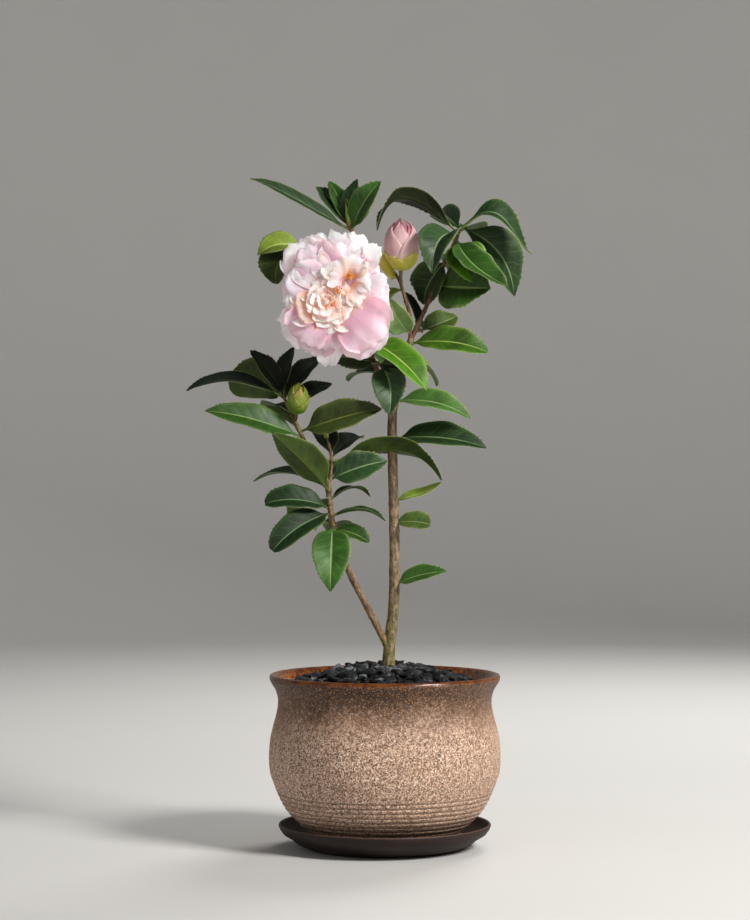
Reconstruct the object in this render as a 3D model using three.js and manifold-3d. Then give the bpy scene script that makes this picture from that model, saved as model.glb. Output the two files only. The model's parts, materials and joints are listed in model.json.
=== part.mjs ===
// A young camellia with two stems, one open peony-shaped bloom and two buds, in a round-bellied
// stoneware pot that stands on its saucer. Millimetres, +Z up, the origin under the saucer's middle.
// The side with the bloom faces -Y, and +X is to its right.
import * as THREE from "three";
import { mergeVertices } from "three/addons/utils/BufferGeometryUtils.js";
import Module from "manifold-3d";

const wasm = await Module();
wasm.setup();

// ---- Pot and saucer ----
const GAP = 0.3; // clearance between neighbouring pieces
const ROUND = 36; // facets round the pot and the saucer

const SAUCER = { foot: 66, rim: 91.5, height: 20.5, floor: 6, wall: 4.5 };
const POT = { height: 142.5, lip: 99.5, neck: 92, belly: 100, foot: 61, wall: 7, floor: 9 };
const POT_STANDS_AT = SAUCER.floor + GAP;
const RIM_TOP = POT_STANDS_AT + POT.height;
const INSIDE_NECK = POT.neck - POT.wall;

// The soil rises from its edge along the wall to a flat middle, where the main stem is cut off.
const SOIL = { edge: RIM_TOP - 13, crown: RIM_TOP + 1.5, flat: 24 };
const PEBBLES = { size: 9, rings: 4, reach: 76, bed: 4, seed: 7 };

// ---- Stems ----
// The radius falls from thick to thin along each limb, slowly at first.
const LIMBS = {
  main_stem: {
    path: [
      [3, 0, SOIL.crown + GAP],
      [4, 0, 172],
      [7.5, 0, 205],
      [8.5, 0, 245],
      [7.8, 0, 292],
      [6.6, 0, 345],
      [7, 0, 376],
      [13, 0, 406],
      [23, 0, 438],
    ],
    thick: 4.9,
    thin: 2.9,
    flare: 1.5,
    steps: 18,
    sides: 10,
  },
  side_stem: {
    path: [
      [4, 0, 168],
      [-2, -2, 181],
      [-16, -5, 208],
      [-32, -9, 240],
      [-44, -12, 272],
    ],
    thick: 3,
    thin: 2.7,
    steps: 10,
    sides: 8,
  },
  right_shoot: {
    path: [
      [21, 0, 433],
      [26, 1, 444],
      [33, 2, 459],
      [40, 3, 474],
    ],
    thick: 2.1,
    thin: 1.7,
  },
  top_shoot: {
    path: [
      [21.5, 0, 435],
      [22, -2, 455],
      [17, -1, 474],
      [11, 4, 491],
      [-5, 6, 506],
      [-20, 6, 519],
    ],
    thick: 1.6,
    thin: 1.4,
    steps: 10,
  },
  bloom_shoot: {
    path: [
      [6.5, 0, 374],
      [-2, -3, 398],
      [-9, -5, 417],
      [-21, -6, 444],
      [-32, -6, 464],
    ],
    thick: 2.4,
    thin: 1.8,
  },
};

// ---- Leaves ----
// Half width and length of a blade from its root to its tip, as shares of the whole.
const BLADE = {
  outline: [
    [0, 0.06],
    [0.09, 0.08],
    [0.24, 0.74],
    [0.44, 1],
    [0.64, 0.92],
    [0.84, 0.55],
    [1, 0.03],
  ],
  // The same shares of half width for a leaf that ends broad.
  blunt: [0.06, 0.08, 0.6, 0.88, 1, 0.92, 0.36],
  thick: 1,
  fold: 20,
  late: 0.25,
};

// A twig and the leaves on it make one mass, and a single leaf grows straight on a limb. Each leaf
// leaves its twig nearest to "from" and ends at "to". "face" is the way its upper side looks, "arch"
// how far its middle is raised that way, "late" how far the arch leans to the tip, "bow" how far the
// middle is bent sideways, and "blunt" how broad it ends, from 0 to 1.
const FOLIAGE = {
  top_left_foliage: {
    seed: 11,
    twigs: [{ path: [[-20, 6, 519], [-26, 5, 527], [-30, 4, 533]], thick: 1.5, thin: 1.4 }],
    buds: [{ from: [-30, 4, 532], to: [-33, 4, 559], wide: 4.5 }],
    leaves: [
      { from: [-30, 4, 533], to: [-116, -10, 574], wide: 19, arch: 2, late: 1.6, face: [0.3, -0.6, 0.75] },
      { from: [-29, 4, 533], to: [-57, 36, 573], wide: 21, arch: 3, face: [0.35, -0.9, 0.3] },
      { from: [-29, 4, 533], to: [-25, 16, 577], wide: 20, arch: 3, face: [-0.6, -0.7, 0.2] },
      { from: [-30, 5, 533], to: [-46, 34, 577], wide: 17, arch: 3, face: [0.2, -0.8, 0.4] },
      { from: [-28, 4, 532], to: [-4, -12, 573], wide: 27, arch: 4, face: [-0.5, -0.8, 0.3] },
      { from: [-26, 4, 531], to: [-24, 62, 556], wide: 26, arch: 8, face: [0.1, -0.5, 0.8] },
    ],
  },
  top_right_foliage: {
    seed: 12,
    twigs: [{ path: [[40, 3, 474], [48, 4, 494], [58, 4, 516], [66, 4, 534]], thick: 1.8, thin: 1.4 }],
    buds: [{ from: [43.5, 2, 480], to: [49, -2, 489], wide: 3.5 }],
    leaves: [
      { from: [62, 4, 530], to: [-6, -30, 529], wide: 25, arch: 34, face: [0.1, 0.6, 0.8] },
      { from: [64, 4, 533], to: [46, 60, 551], wide: 26, arch: 5, face: [-0.3, -0.6, 0.75] },
      { from: [65, 4, 533], to: [127.5, 6, 512], wide: 33, arch: 22, late: -0.8, blunt: -0.7, face: [0.1, -0.55, 0.8] },
      { from: [65, 4, 534], to: [113, 26, 476], wide: 42, arch: 5, bow: -11, face: [0.3, -0.9, 0.3] },
      { from: [61, 4, 526], to: [103, -40, 479], wide: 32, arch: 1, bow: 10, face: [0.35, -0.85, 0.45] },
      { from: [44, 3, 484], to: [90, -26, 479], wide: 48, arch: 2, bow: 2, face: [0.1, -0.95, 0.25] },
      { from: [60, 4, 522], to: [80, -18, 485], wide: 37, arch: 4, face: [0.1, -0.95, 0.3] },
      { from: [53, 4, 506], to: [34, 22, 469], wide: 36, arch: 7, face: [-0.4, -0.85, 0.3] },
      { from: [62, 4, 529], to: [43, -36, 491], wide: 37, arch: 14, bow: 4, face: [-0.2, -0.8, 0.6], fold: 30 },
      { from: [64, 4, 532], to: [86, 66, 520], wide: 29, arch: 10, face: [0.1, 0.2, 0.97] },
      { from: [54, 4, 508], to: [64, 72, 490], wide: 28, arch: 10, face: [0, 0.2, 0.98] },
    ],
  },
  right_shoot_foliage: {
    seed: 13,
    twigs: [{ path: [[26, 1, 444], [29, 5, 445], [33, 9, 445]], thick: 1.5, thin: 1.2 }],
    leaves: [
      { from: [31, 7, 445], to: [62, 26, 459], wide: 25, arch: 2, bow: 3, face: [-0.1, -0.8, 0.6] },
      { from: [31, 7, 445], to: [18, 24, 480], wide: 13, arch: 2, face: [0.7, -0.7, 0.2] },
      { from: [32, 8, 445], to: [50, 62, 442], wide: 27, arch: 9, face: [0, 0.1, 0.99] },
    ],
  },
  bud_stalk_leaf: {
    seed: 14,
    leaves: [{ from: [15, 1, 481], to: [-4, 6, 466], wide: 15, arch: 3, face: [-0.4, 0.5, 0.75] }],
    on: "top_shoot",
  },
  fork_leaf_right: {
    seed: 15,
    leaves: [{ from: [21, 0, 433], to: [88, -16, 427], wide: 30, arch: 7, blunt: 0.4, face: [0, -0.8, 0.6] }],
    on: "main_stem",
  },
  fork_leaf_left: {
    seed: 16,
    leaves: [{ from: [22, -1, 442], to: [2, -20, 470], wide: 26, arch: 5, face: [-0.5, -0.8, 0.4] }],
    on: "top_shoot",
  },
  fork_leaf_back: {
    seed: 17,
    leaves: [{ from: [18, 0, 424], to: [46, 24, 396], wide: 24, arch: 4, face: [0.6, -0.2, 0.75] }],
    on: "main_stem",
  },
  fork_leaf_hidden: {
    seed: 18,
    leaves: [{ from: [12, 0, 402], to: [-12, 56, 424], wide: 27, arch: 9, face: [0, -0.3, 0.95] }],
    on: "main_stem",
  },
  bloom_shoot_leaf_front: {
    seed: 19,
    leaves: [{ from: [-18, -6, 438], to: [34, -40, 391], wide: 37, arch: 7, face: [0.5, -0.75, 0.5] }],
    on: "bloom_shoot",
  },
  bloom_shoot_foliage: {
    seed: 20,
    twigs: [{ path: [[-9, -5, 417], [-6, -10, 416], [-4, -15, 414]], thick: 1.5, thin: 1.3 }],
    leaves: [
      { from: [-4, -14, 414], to: [2, -36, 371], wide: 31, arch: 5, bow: -6, face: [-0.1, -0.95, 0.2] },
      { from: [-7, -8, 416], to: [-50, -16, 420], wide: 24, arch: 4, face: [0, -0.92, 0.38] },
      { from: [-5, -12, 415], to: [24, -15, 408], wide: 25, arch: 5, face: [0.2, -0.9, 0.4] },
    ],
  },
  bloom_shoot_leaf_back: {
    seed: 21,
    leaves: [{ from: [-6, -4, 409], to: [-31, 30, 402], wide: 20, arch: 4, face: [0.2, -0.7, 0.65] }],
    on: "bloom_shoot",
  },
  stem_leaf_top: {
    seed: 23,
    leaves: [{ from: [8, 0, 386], to: [73, -18, 368], wide: 26, arch: 9, face: [0.2, -0.75, 0.65] }],
    on: "main_stem",
  },
  stem_leaf_upper: {
    seed: 24,
    leaves: [{ from: [5, 0, 350], to: [87, -16, 343], wide: 33, arch: 6, face: [0, -0.66, 0.75] }],
    on: "main_stem",
  },
  stem_leaf_narrow: {
    seed: 25,
    leaves: [{ from: [5, 0, 297], to: [49, 8, 314], wide: 15, arch: -4, face: [-0.35, -0.5, 0.8] }],
    on: "main_stem",
  },
  stem_leaf_small: {
    seed: 26,
    leaves: [{ from: [5.5, 0, 281], to: [39, -9, 278], wide: 19, arch: 3, face: [0.2, -0.85, 0.5], blunt: 1 }],
    on: "main_stem",
  },
  stem_leaf_lowest: {
    seed: 27,
    leaves: [{ from: [5.3, 0, 224], to: [53, -14, 238], wide: 20, arch: 3, face: [-0.2, -0.7, 0.7] }],
    on: "main_stem",
  },
  behind_bloom_foliage: {
    seed: 28,
    twigs: [{ path: [[-32, -6, 464], [-50, 8, 492], [-70, 8, 516]], thick: 1.7, thin: 1.3 }],
    leaves: [
      { from: [-69, 8, 515], to: [-109, -6, 508], wide: 28, arch: 9, face: [-0.1, -0.7, 0.65] },
      { from: [-66, 8, 512], to: [-91, -20, 483], wide: 41, arch: 8, bow: 8, blunt: 0.4, face: [-0.5, -0.8, 0.35] },
      { from: [-66, 8, 512], to: [-74, 66, 494], wide: 30, arch: 10, face: [0, 0.2, 0.98] },
      { from: [-52, 8, 495], to: [-22, 58, 494], wide: 30, arch: 10, face: [0, -0.1, 0.99] },
      { from: [-46, 5, 486], to: [-56, 62, 458], wide: 29, arch: 9, face: [0, 0.4, 0.9] },
    ],
  },
  left_lower_foliage: {
    seed: 29,
    twigs: [{ path: [[-44, -12, 272], [-46, -12, 286], [-48, -12, 300]], thick: 2.7, thin: 2.4 }],
    leaves: [
      { from: [-47, -12, 292], to: [-102, -22, 294], wide: 28, arch: 8, blunt: 0.6, face: [-0.1, -0.75, 0.65] },
      { from: [-46, -12, 288], to: [-95, -42, 256], wide: 31, arch: 8, blunt: 0.6, face: [-0.4, -0.85, 0.3] },
      { from: [-45, -12, 277], to: [-46, -46, 222], wide: 34, arch: 10, face: [0, -0.95, 0.3] },
      { from: [-44, -12, 274], to: [-13, -20, 264], wide: 18, arch: 3, blunt: 0.6, face: [0, -0.7, 0.7] },
      { from: [-48, -12, 299], to: [-11, 14, 301], wide: 12, arch: 9, face: [0, 0, 1] },
      { from: [-46, -12, 286], to: [1, -26, 281], wide: 15, arch: 7, face: [0, -0.1, 1] },
      { from: [-45, -12, 279], to: [-58, 26, 272], wide: 16, arch: 4, face: [0, -0.5, 0.85] },
      { from: [-47, -12, 294], to: [-84, 42, 280], wide: 28, arch: 9, face: [0, 0.1, 0.99] },
      { from: [-45, -12, 280], to: [-36, 42, 250], wide: 28, arch: 8, face: [0, 0.3, 0.95] },
    ],
  },
  left_middle_foliage: {
    seed: 30,
    twigs: [
      { path: [[-48, -12, 301], [-49, -12, 313], [-60, -10, 333]], thick: 2.4, thin: 2 },
      { path: [[-48.5, -12, 310], [-46, -11, 324], [-46, -12, 337], [-50, -14, 353]], thick: 1.6, thin: 1 },
    ],
    buds: [{ from: [-49.5, -14, 351], to: [-51, -14, 358], wide: 4 }],
    leaves: [
      { from: [-48, -12, 306], to: [-94, -42, 357], wide: 34, arch: -5, bow: -5, face: [0.3, 0.9, 0.3] },
      { from: [-49, -12, 312], to: [-113, 12, 315], wide: 18, arch: 9, face: [0, -0.35, 0.94] },
      { from: [-47, -12, 316], to: [2, -14, 332], wide: 29, arch: 5, face: [0, -0.9, 0.42] },
      { from: [-46, -12, 332], to: [48, -38, 316], wide: 27, arch: 23, face: [0.1, 0.6, 0.8] },
      { from: [-46, -12, 336], to: [-59, 30, 360], wide: 24, arch: 5, face: [0.2, -0.8, 0.5] },
      { from: [-46, -12, 334], to: [-20, 34, 352], wide: 24, arch: 6, face: [-0.2, -0.7, 0.65] },
      { from: [-48, -12, 308], to: [-72, 50, 328], wide: 28, arch: 9, face: [0, -0.2, 0.98] },
      { from: [-47, -12, 320], to: [-16, 48, 318], wide: 26, arch: 9, face: [0, 0.1, 0.99] },
    ],
  },
  left_top_foliage: {
    seed: 31,
    twigs: [{ path: [[-60, -10, 333], [-71, -7, 353], [-81, -4, 375], [-88, 0, 389]], thick: 2, thin: 1.4 }],
    leaves: [
      { from: [-88, 0, 389], to: [-170, -10, 391], wide: 25, arch: 12, face: [0, -0.45, 0.9] },
      { from: [-87, 0, 387], to: [-138, 52, 403], wide: 39, arch: 3, bow: -8, blunt: 1, face: [0.3, 0.9, 0.2] },
      { from: [-88, 0, 388], to: [-116, -4, 427], wide: 23, arch: 3, face: [0.6, -0.7, 0.4] },
      { from: [-88, 0, 389], to: [-80, 14, 431], wide: 21, arch: 3, face: [-0.6, -0.7, 0.3] },
      { from: [-86, 0, 386], to: [-56, 24, 423], wide: 23, arch: 4, face: [-0.4, -0.8, 0.4] },
      { from: [-83, -2, 379], to: [-46, 26, 399], wide: 20, arch: 4, face: [-0.1, -0.7, 0.7] },
      { from: [-71, -7, 353], to: [-154, -26, 373], wide: 29, arch: 6, face: [-0.2, -0.75, 0.65] },
      { from: [-75, -6, 362], to: [-112, 18, 377], wide: 16, arch: 4, face: [0.1, -0.5, 0.85] },
      { from: [-73, -7, 357], to: [-3, -28, 378], wide: 32, arch: 3, face: [-0.1, -0.88, 0.45] },
      { from: [-86, 0, 384], to: [-102, 64, 400], wide: 28, arch: 9, face: [0, -0.2, 0.98] },
      { from: [-78, -4, 368], to: [-106, 52, 374], wide: 27, arch: 9, face: [0, 0, 1] },
    ],
  },
};

// ---- Bloom and buds ----
// The petals' angle (from +X), length and width, seen from the front.
const BLOOM = {
  centre: [-42, -40, 469],
  stalkFrom: [-27, -6, 455],
  heart: { centre: [-47, -48, 467], wide: 22, deep: 15, high: 24 },
  body: { wide: 30, deep: 20, high: 38 },
  petals: [
    [99, 58, 48],
    [48, 64, 24],
    [20, 47, 44],
    [-12, 46, 44],
    [-50, 54, 44],
    [-88, 58, 25],
    [-112, 47, 40],
    [-142, 55, 40],
    [-178, 46, 42],
    [155, 47, 40],
    [126, 58, 42],
    [74, 57, 36],
  ],
};
const PINK_BUD = { from: [15, -2, 479], foot: [15, -8, 495.5], top: [14, -9, 541.5], wide: 31 };
const GREEN_BUD = { from: [-77, -5, 366], foot: [-76, -12, 372], top: [-73, -16, 400], wide: 20.5 };

const COLOURS = {
  clay: [0xb08a68, 0.85],
  saucer: [0x46322b, 0.6],
  soil: [0x2b211b, 0.95],
  stones: [0x24262a, 0.55],
  bark: [0x94704f, 0.8],
  leaf: [0x2c5a2c, 0.4],
  petal: [0xf3cdd2, 0.6],
  bud: [0x93a83a, 0.5],
};

// ---- Small helpers ----
const point = (xyz) => new THREE.Vector3(...xyz);
const radians = THREE.MathUtils.degToRad;
const lerp = THREE.MathUtils.lerp;

// Repeatable numbers from 0 to 1, one series for each seed.
function seeded(seed) {
  let state = seed * 7919;
  return () => {
    state = (state * 16807) % 2147483647;
    return state / 2147483647;
  };
}

// A closed solid from a geometry whose seams meet. Faces without area at poles are left out.
function solidOf(geometry) {
  const bare = new THREE.BufferGeometry();
  bare.setAttribute("position", geometry.getAttribute("position").clone());
  bare.setIndex(geometry.getIndex());
  const merged = mergeVertices(bare, 1e-3);
  const index = merged.getIndex();
  const faces = [];
  for (let i = 0; i < index.count; i += 3) {
    const [a, b, c] = [index.getX(i), index.getX(i + 1), index.getX(i + 2)];
    if (a !== b && b !== c && c !== a) {
      faces.push([a, b, c]);
    }
  }
  const made = (triangles) =>
    new wasm.Manifold(
      new wasm.Mesh({
        numProp: 3,
        vertProperties: merged.getAttribute("position").array,
        triVerts: new Uint32Array(triangles.flat()),
      }),
    );
  const solid = made(faces);
  return solid.volume() > 0 ? solid : made(faces.map(([a, b, c]) => [c, b, a]));
}

function geometryOf(solid) {
  const { vertProperties, triVerts } = solid.getMesh();
  const geometry = new THREE.BufferGeometry();
  geometry.setAttribute("position", new THREE.BufferAttribute(vertProperties, 3));
  geometry.setIndex(new THREE.BufferAttribute(triVerts, 1));
  return geometry;
}

const join = (solids) => solids.reduce((all, one) => all.add(one));
const largest = (solid) => solid.decompose().sort((a, b) => b.volume() - a.volume())[0];

// Moves every vertex of a geometry to where shape(vertex) puts it.
function shaped(geometry, shape) {
  const at = geometry.getAttribute("position");
  const vertex = new THREE.Vector3();
  for (let i = 0; i < at.count; i++) {
    shape(vertex.fromBufferAttribute(at, i));
    at.setXYZ(i, vertex.x, vertex.y, vertex.z);
  }
  return geometry;
}

// A solid of revolution about Z from [radius, height] points that begin and end on the axis.
function turned(profile, facets = ROUND) {
  const points = profile.map(([radius, height]) => new THREE.Vector2(radius, height));
  return solidOf(new THREE.LatheGeometry(points, facets).rotateX(Math.PI / 2));
}

// ---- Pot, saucer, soil and pebbles ----
function saucer() {
  const { foot, rim, height, floor, wall } = SAUCER;
  const turn = rim - 5;
  return turned([
    [0, 0],
    [foot, 0],
    [foot + 9, 4],
    [turn, 11.5],
    [rim, height - 2],
    [rim - 1, height],
    [rim - wall + 1, height - 1],
    [turn - wall, 13.5],
    [foot + 4, floor],
    [0, floor],
  ]);
}

// The pot's outside, from its foot to its lip, as [radius, height above the pot's own foot].
function potOutside() {
  const { height, lip, neck, belly, foot } = POT;
  const knots = [
    [foot, 0],
    [foot + 12.5, 14.5],
    [belly - 13.5, 28.5],
    [belly - 4.5, 51],
    [belly - 0.5, 70],
    [belly - 1, 89],
    [neck + 1, 110],
    [neck + 2.5, 130],
    [lip, height - 2.5],
  ];
  const line = new THREE.SplineCurve(knots.map(([r, z]) => new THREE.Vector2(r, z)));
  return line.getPoints(13).map((p) => [p.x, p.y]);
}

function pot() {
  const { height, lip, wall, floor } = POT;
  const outside = potOutside();
  const inside = outside.slice(2, -1).map(([r, z]) => [r - wall, z]);
  const profile = [[0, 0], ...outside, [lip - 1.5, height], [lip - wall, height - 1]];
  profile.push(...inside.reverse(), [inside.at(-1)[0] - 8, floor], [0, floor]);
  return turned(profile).translate(0, 0, POT_STANDS_AT);
}

// The soil fills the pot up to its edge height and rises to the flat middle.
function soil() {
  const { wall, floor } = POT;
  const side = potOutside()
    .slice(2, -1)
    .map(([r, z]) => [r - wall - 2 * GAP, z + POT_STANDS_AT])
    .filter(([, z]) => z < SOIL.edge - 3);
  const bottom = POT_STANDS_AT + floor + GAP;
  return turned([
    [0, bottom],
    [side[0][0] - 8, bottom],
    ...side,
    [INSIDE_NECK - 0.5, SOIL.edge],
    [SOIL.flat, SOIL.crown],
    [0, SOIL.crown],
  ]);
}

function soilHeight(distance) {
  const share = (distance - SOIL.flat) / (INSIDE_NECK - SOIL.flat);
  return lerp(SOIL.crown, SOIL.edge, THREE.MathUtils.clamp(share, 0, 1));
}

// A crust of angular pebbles fused to a thin bed on the soil, open where the main stem stands.
function pebbles() {
  const random = seeded(PEBBLES.seed);
  const { size, rings, reach, bed } = PEBBLES;
  const above = (depth) => [
    [reach + 2, soilHeight(reach + 2) + depth],
    [SOIL.flat, SOIL.crown + depth],
    [0, SOIL.crown + depth],
  ];
  const [edge, shoulder, middle] = above(GAP);
  const stones = [turned([middle, shoulder, edge, ...above(bed)], 24)];
  for (let ring = 1; ring <= rings; ring++) {
    const distance = 4 + ((reach - 4) * ring) / rings;
    const count = Math.round(3 + ring * 2.9);
    for (let i = 0; i < count; i++) {
      const angle = ((i + 0.7 * random()) / count) * 2 * Math.PI;
      const out = distance - 6 * random();
      const wide = size * (0.8 + 0.45 * random());
      const stone = new THREE.IcosahedronGeometry(1, 0)
        .scale(wide, wide * (0.7 + 0.3 * random()), wide * (0.55 + 0.2 * random()))
        .rotateX(0.5 * (random() - 0.5))
        .rotateZ(random() * Math.PI)
        .translate(out * Math.cos(angle), out * Math.sin(angle), soilHeight(out) + bed);
      stones.push(solidOf(stone));
    }
  }
  const overSoil = turned([
    middle,
    shoulder,
    [INSIDE_NECK - 0.5, soilHeight(INSIDE_NECK - 0.5) + GAP],
    [INSIDE_NECK - 0.5, RIM_TOP + 30],
    [0, RIM_TOP + 30],
  ]);
  const foot = LIMBS.main_stem;
  const [x, y] = foot.path[0];
  const hole = new THREE.CylinderGeometry(1, 1, 60, 12)
    .scale(foot.thick + foot.flare + GAP * 2, 1, foot.thick + foot.flare + GAP * 2)
    .rotateX(Math.PI / 2)
    .translate(x, y, SOIL.crown);
  return largest(join(stones).intersect(overSoil).subtract(solidOf(hole)));
}

// ---- Limbs ----
// One tapering tube with flat ends. extra makes it fatter, to cut a clearance with.
function tube({ path, thick, thin, flare = 0, steps = 6, sides = 6 }, extra = 0) {
  const line = new THREE.CatmullRomCurve3(path.map(point), false, "centripetal");
  const frames = line.computeFrenetFrames(steps, false);
  const geometry = new THREE.CylinderGeometry(1, 1, 1, sides, steps);
  return solidOf(
    shaped(geometry, (v) => {
      const share = 0.5 - v.y;
      const step = Math.round(share * steps);
      const radius = lerp(thick, thin, share ** 1.5) + flare * Math.exp(-share * 30) + extra;
      const [across, up] = [v.x * radius, v.z * radius];
      const centre = line.getPointAt(share).addScaledVector(line.getTangentAt(share), (2 * share - 1) * extra);
      if (step === 0 && flare > 0) {
        v.set(across, up, 0).add(centre);
      } else {
        v.copy(centre).addScaledVector(frames.normals[step], across);
        v.addScaledVector(frames.binormals[step], up);
      }
    }),
  );
}

// Each limb starts inside the one it grows from and is cut clear of all the limbs before it.
function limbs() {
  const made = {};
  let cutter = null;
  for (const [name, form] of Object.entries(LIMBS)) {
    const whole = tube(form);
    made[name] = cutter ? largest(whole.subtract(cutter)) : whole;
    const wide = tube(form, GAP);
    cutter = cutter ? cutter.add(wide) : wide;
  }
  return { made, cutter };
}

// ---- Leaves, petals and buds ----
// A blade from root to tip with a lens-shaped section, folded along its middle.
function blade(root, tip, form, outline) {
  const { wide, arch, face, fold = BLADE.fold, thick = BLADE.thick } = form;
  const { sway = 0, late = BLADE.late, bow = 0, blunt = 0 } = form;
  const along = tip.clone().sub(root);
  const forward = along.clone().normalize();
  const up = point(face).normalize();
  up.addScaledVector(forward, -up.dot(forward)).normalize();
  const side = new THREE.Vector3().crossVectors(forward, up);
  const last = outline.length - 1;
  const geometry = new THREE.CylinderGeometry(1, 1, 1, 4, last);
  return solidOf(
    shaped(geometry, (v) => {
      const row = Math.round((0.5 - v.y) * last);
      const [share, spread] = outline[row];
      const half = (wide / 2) * (blunt ? lerp(spread, BLADE.blunt[row], blunt) : spread);
      const hump = 4 * share * (1 - share);
      const raise = arch * hump * (1 + late * (2 * share - 1));
      const slope = (4 * arch * (1 - 2 * share)) / along.length();
      const normal = up.clone().addScaledVector(forward, -slope).normalize();
      const edge = Math.abs(v.x) > 0.5;
      const lift = edge ? half * Math.sin(radians(fold)) : v.z * Math.min(half, thick / 2);
      const across = edge ? Math.sign(v.x) * half * Math.cos(radians(fold)) : 0;
      v.copy(root).addScaledVector(along, share);
      v.addScaledVector(up, raise).addScaledVector(normal, lift);
      v.addScaledVector(side, across + bow * hump + sway * share * share);
    }),
  );
}

// An egg on its foot, pointed at the top.
function egg(foot, top, wide, facets = 10) {
  const shape = [0, 0.68, 0.95, 1, 0.9, 0.6, 0];
  const profile = shape.map((r, i) => new THREE.Vector2((r * wide) / 2, i / (shape.length - 1)));
  const axis = point(top).sub(point(foot));
  const turn = new THREE.Quaternion().setFromUnitVectors(point([0, 1, 0]), axis.clone().normalize());
  const geometry = new THREE.LatheGeometry(profile, facets).scale(1, axis.length(), 1);
  return solidOf(geometry.applyQuaternion(turn).translate(...foot));
}

function nearestOn(paths, target) {
  const points = paths.flatMap((path) =>
    new THREE.CatmullRomCurve3(path.map(point), false, "centripetal").getPoints(60),
  );
  return points.sort((a, b) => a.distanceTo(target) - b.distanceTo(target))[0];
}

// A mass: its twigs, its leaves and its small buds in one solid, cut clear of the limbs. A leaf that
// a limb would cut in two is left out.
function mass({ seed, twigs = [], leaves, buds = [], on }, cutter) {
  const random = seeded(seed);
  const paths = on ? [LIMBS[on].path] : twigs.map(({ path }) => path);
  const solids = twigs.map((twig) => tube(twig));
  buds.forEach(({ from, to, wide }) => solids.push(egg(from, to, wide, 6)));
  leaves.forEach((leaf) => {
    const sway = 6 * (random() - 0.5);
    const fold = (leaf.fold ?? BLADE.fold) + 8 * (random() - 0.5);
    const root = nearestOn(paths, point(leaf.from));
    const solid = blade(root, point(leaf.to), { ...leaf, sway, fold }, BLADE.outline);
    const cut = solid.subtract(cutter).decompose().filter((piece) => piece.volume() > 5);
    if (cut.length < 2) {
      solids.push(solid);
    } else {
      console.warn("left out:", leaf.to.join(" "));
    }
  });
  return largest(join(solids).subtract(cutter));
}

const clearance = ({ twigs = [] }) => twigs.map((twig) => tube(twig, GAP));

// The bloom: cupped petals round a crumpled heart, on its own short stalk.
function bloom(cutter) {
  const { centre, stalkFrom, heart, body, petals } = BLOOM;
  const [x, y, z] = centre;
  const ball = ([cx, cy, cz], { wide, deep, high }, detail) =>
    solidOf(new THREE.SphereGeometry(1, detail, detail - 3).scale(wide, deep, high).translate(cx, cy, cz));
  const outline = [
    [0, 0.3],
    [0.3, 0.8],
    [0.6, 1],
    [0.85, 0.85],
    [1, 0.4],
  ];
  const solids = [ball([x, y + 4, z], body, 10), ball(heart.centre, heart, 9)];
  petals.forEach(([angle, length, wide], i) => {
    const [c, s] = [Math.cos(radians(angle)), Math.sin(radians(angle))];
    const tip = point([x + c * length, y + 4 + (i % 2) * 7, z + s * length]);
    const form = { wide, arch: 7, face: [c * 0.2, -1, s * 0.2 + 0.1], fold: -12, thick: 2.4 };
    solids.push(blade(point([x + c * 8, y + 2, z + s * 8]), tip, form, outline));
  });
  solids.push(tube({ path: [stalkFrom, [-34, -16, 462], [x, y + 4, z]], thick: 1.6, thin: 2.4, steps: 4 }));
  return largest(join(solids).subtract(cutter));
}

function bud({ from, foot, top, wide }, cutter) {
  const middle = point(foot).sub(point(top)).multiplyScalar(0.12).add(point(foot)).toArray();
  const inside = point(foot).lerp(point(top), 0.2).toArray();
  const stalk = tube({ path: [from, middle, inside], thick: 1.3, thin: 1.6, steps: 4 });
  return largest(egg(foot, top, wide).add(stalk).subtract(cutter));
}

// ---- The whole ----
const part = new THREE.Group();

function add(name, solid, [color, roughness]) {
  const material = new THREE.MeshStandardMaterial({ color, roughness, metalness: 0 });
  const mesh = new THREE.Mesh(geometryOf(solid), material);
  mesh.name = name;
  part.add(mesh);
}

const { made, cutter: aroundLimbs } = limbs();
let cutter = aroundLimbs;
add("saucer", saucer(), COLOURS.saucer);
add("pot", pot(), COLOURS.clay);
add("soil", soil(), COLOURS.soil);
add("pebbles", pebbles(), COLOURS.stones);
Object.entries(made).forEach(([name, solid]) => add(name, solid, COLOURS.bark));
for (const [name, form] of Object.entries(FOLIAGE)) {
  add(name, mass(form, cutter), COLOURS.leaf);
  cutter = join([cutter, ...clearance(form)]);
}
add("bloom", bloom(cutter), COLOURS.petal);
add("pink_bud", bud(PINK_BUD, cutter), COLOURS.petal);
add("green_bud", bud(GREEN_BUD, cutter), COLOURS.bud);

export default part;
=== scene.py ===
"""A young camellia in a stoneware pot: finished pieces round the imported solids, in metres."""

import json
import math
import random

import bmesh
import bpy
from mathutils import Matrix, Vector, noise

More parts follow.
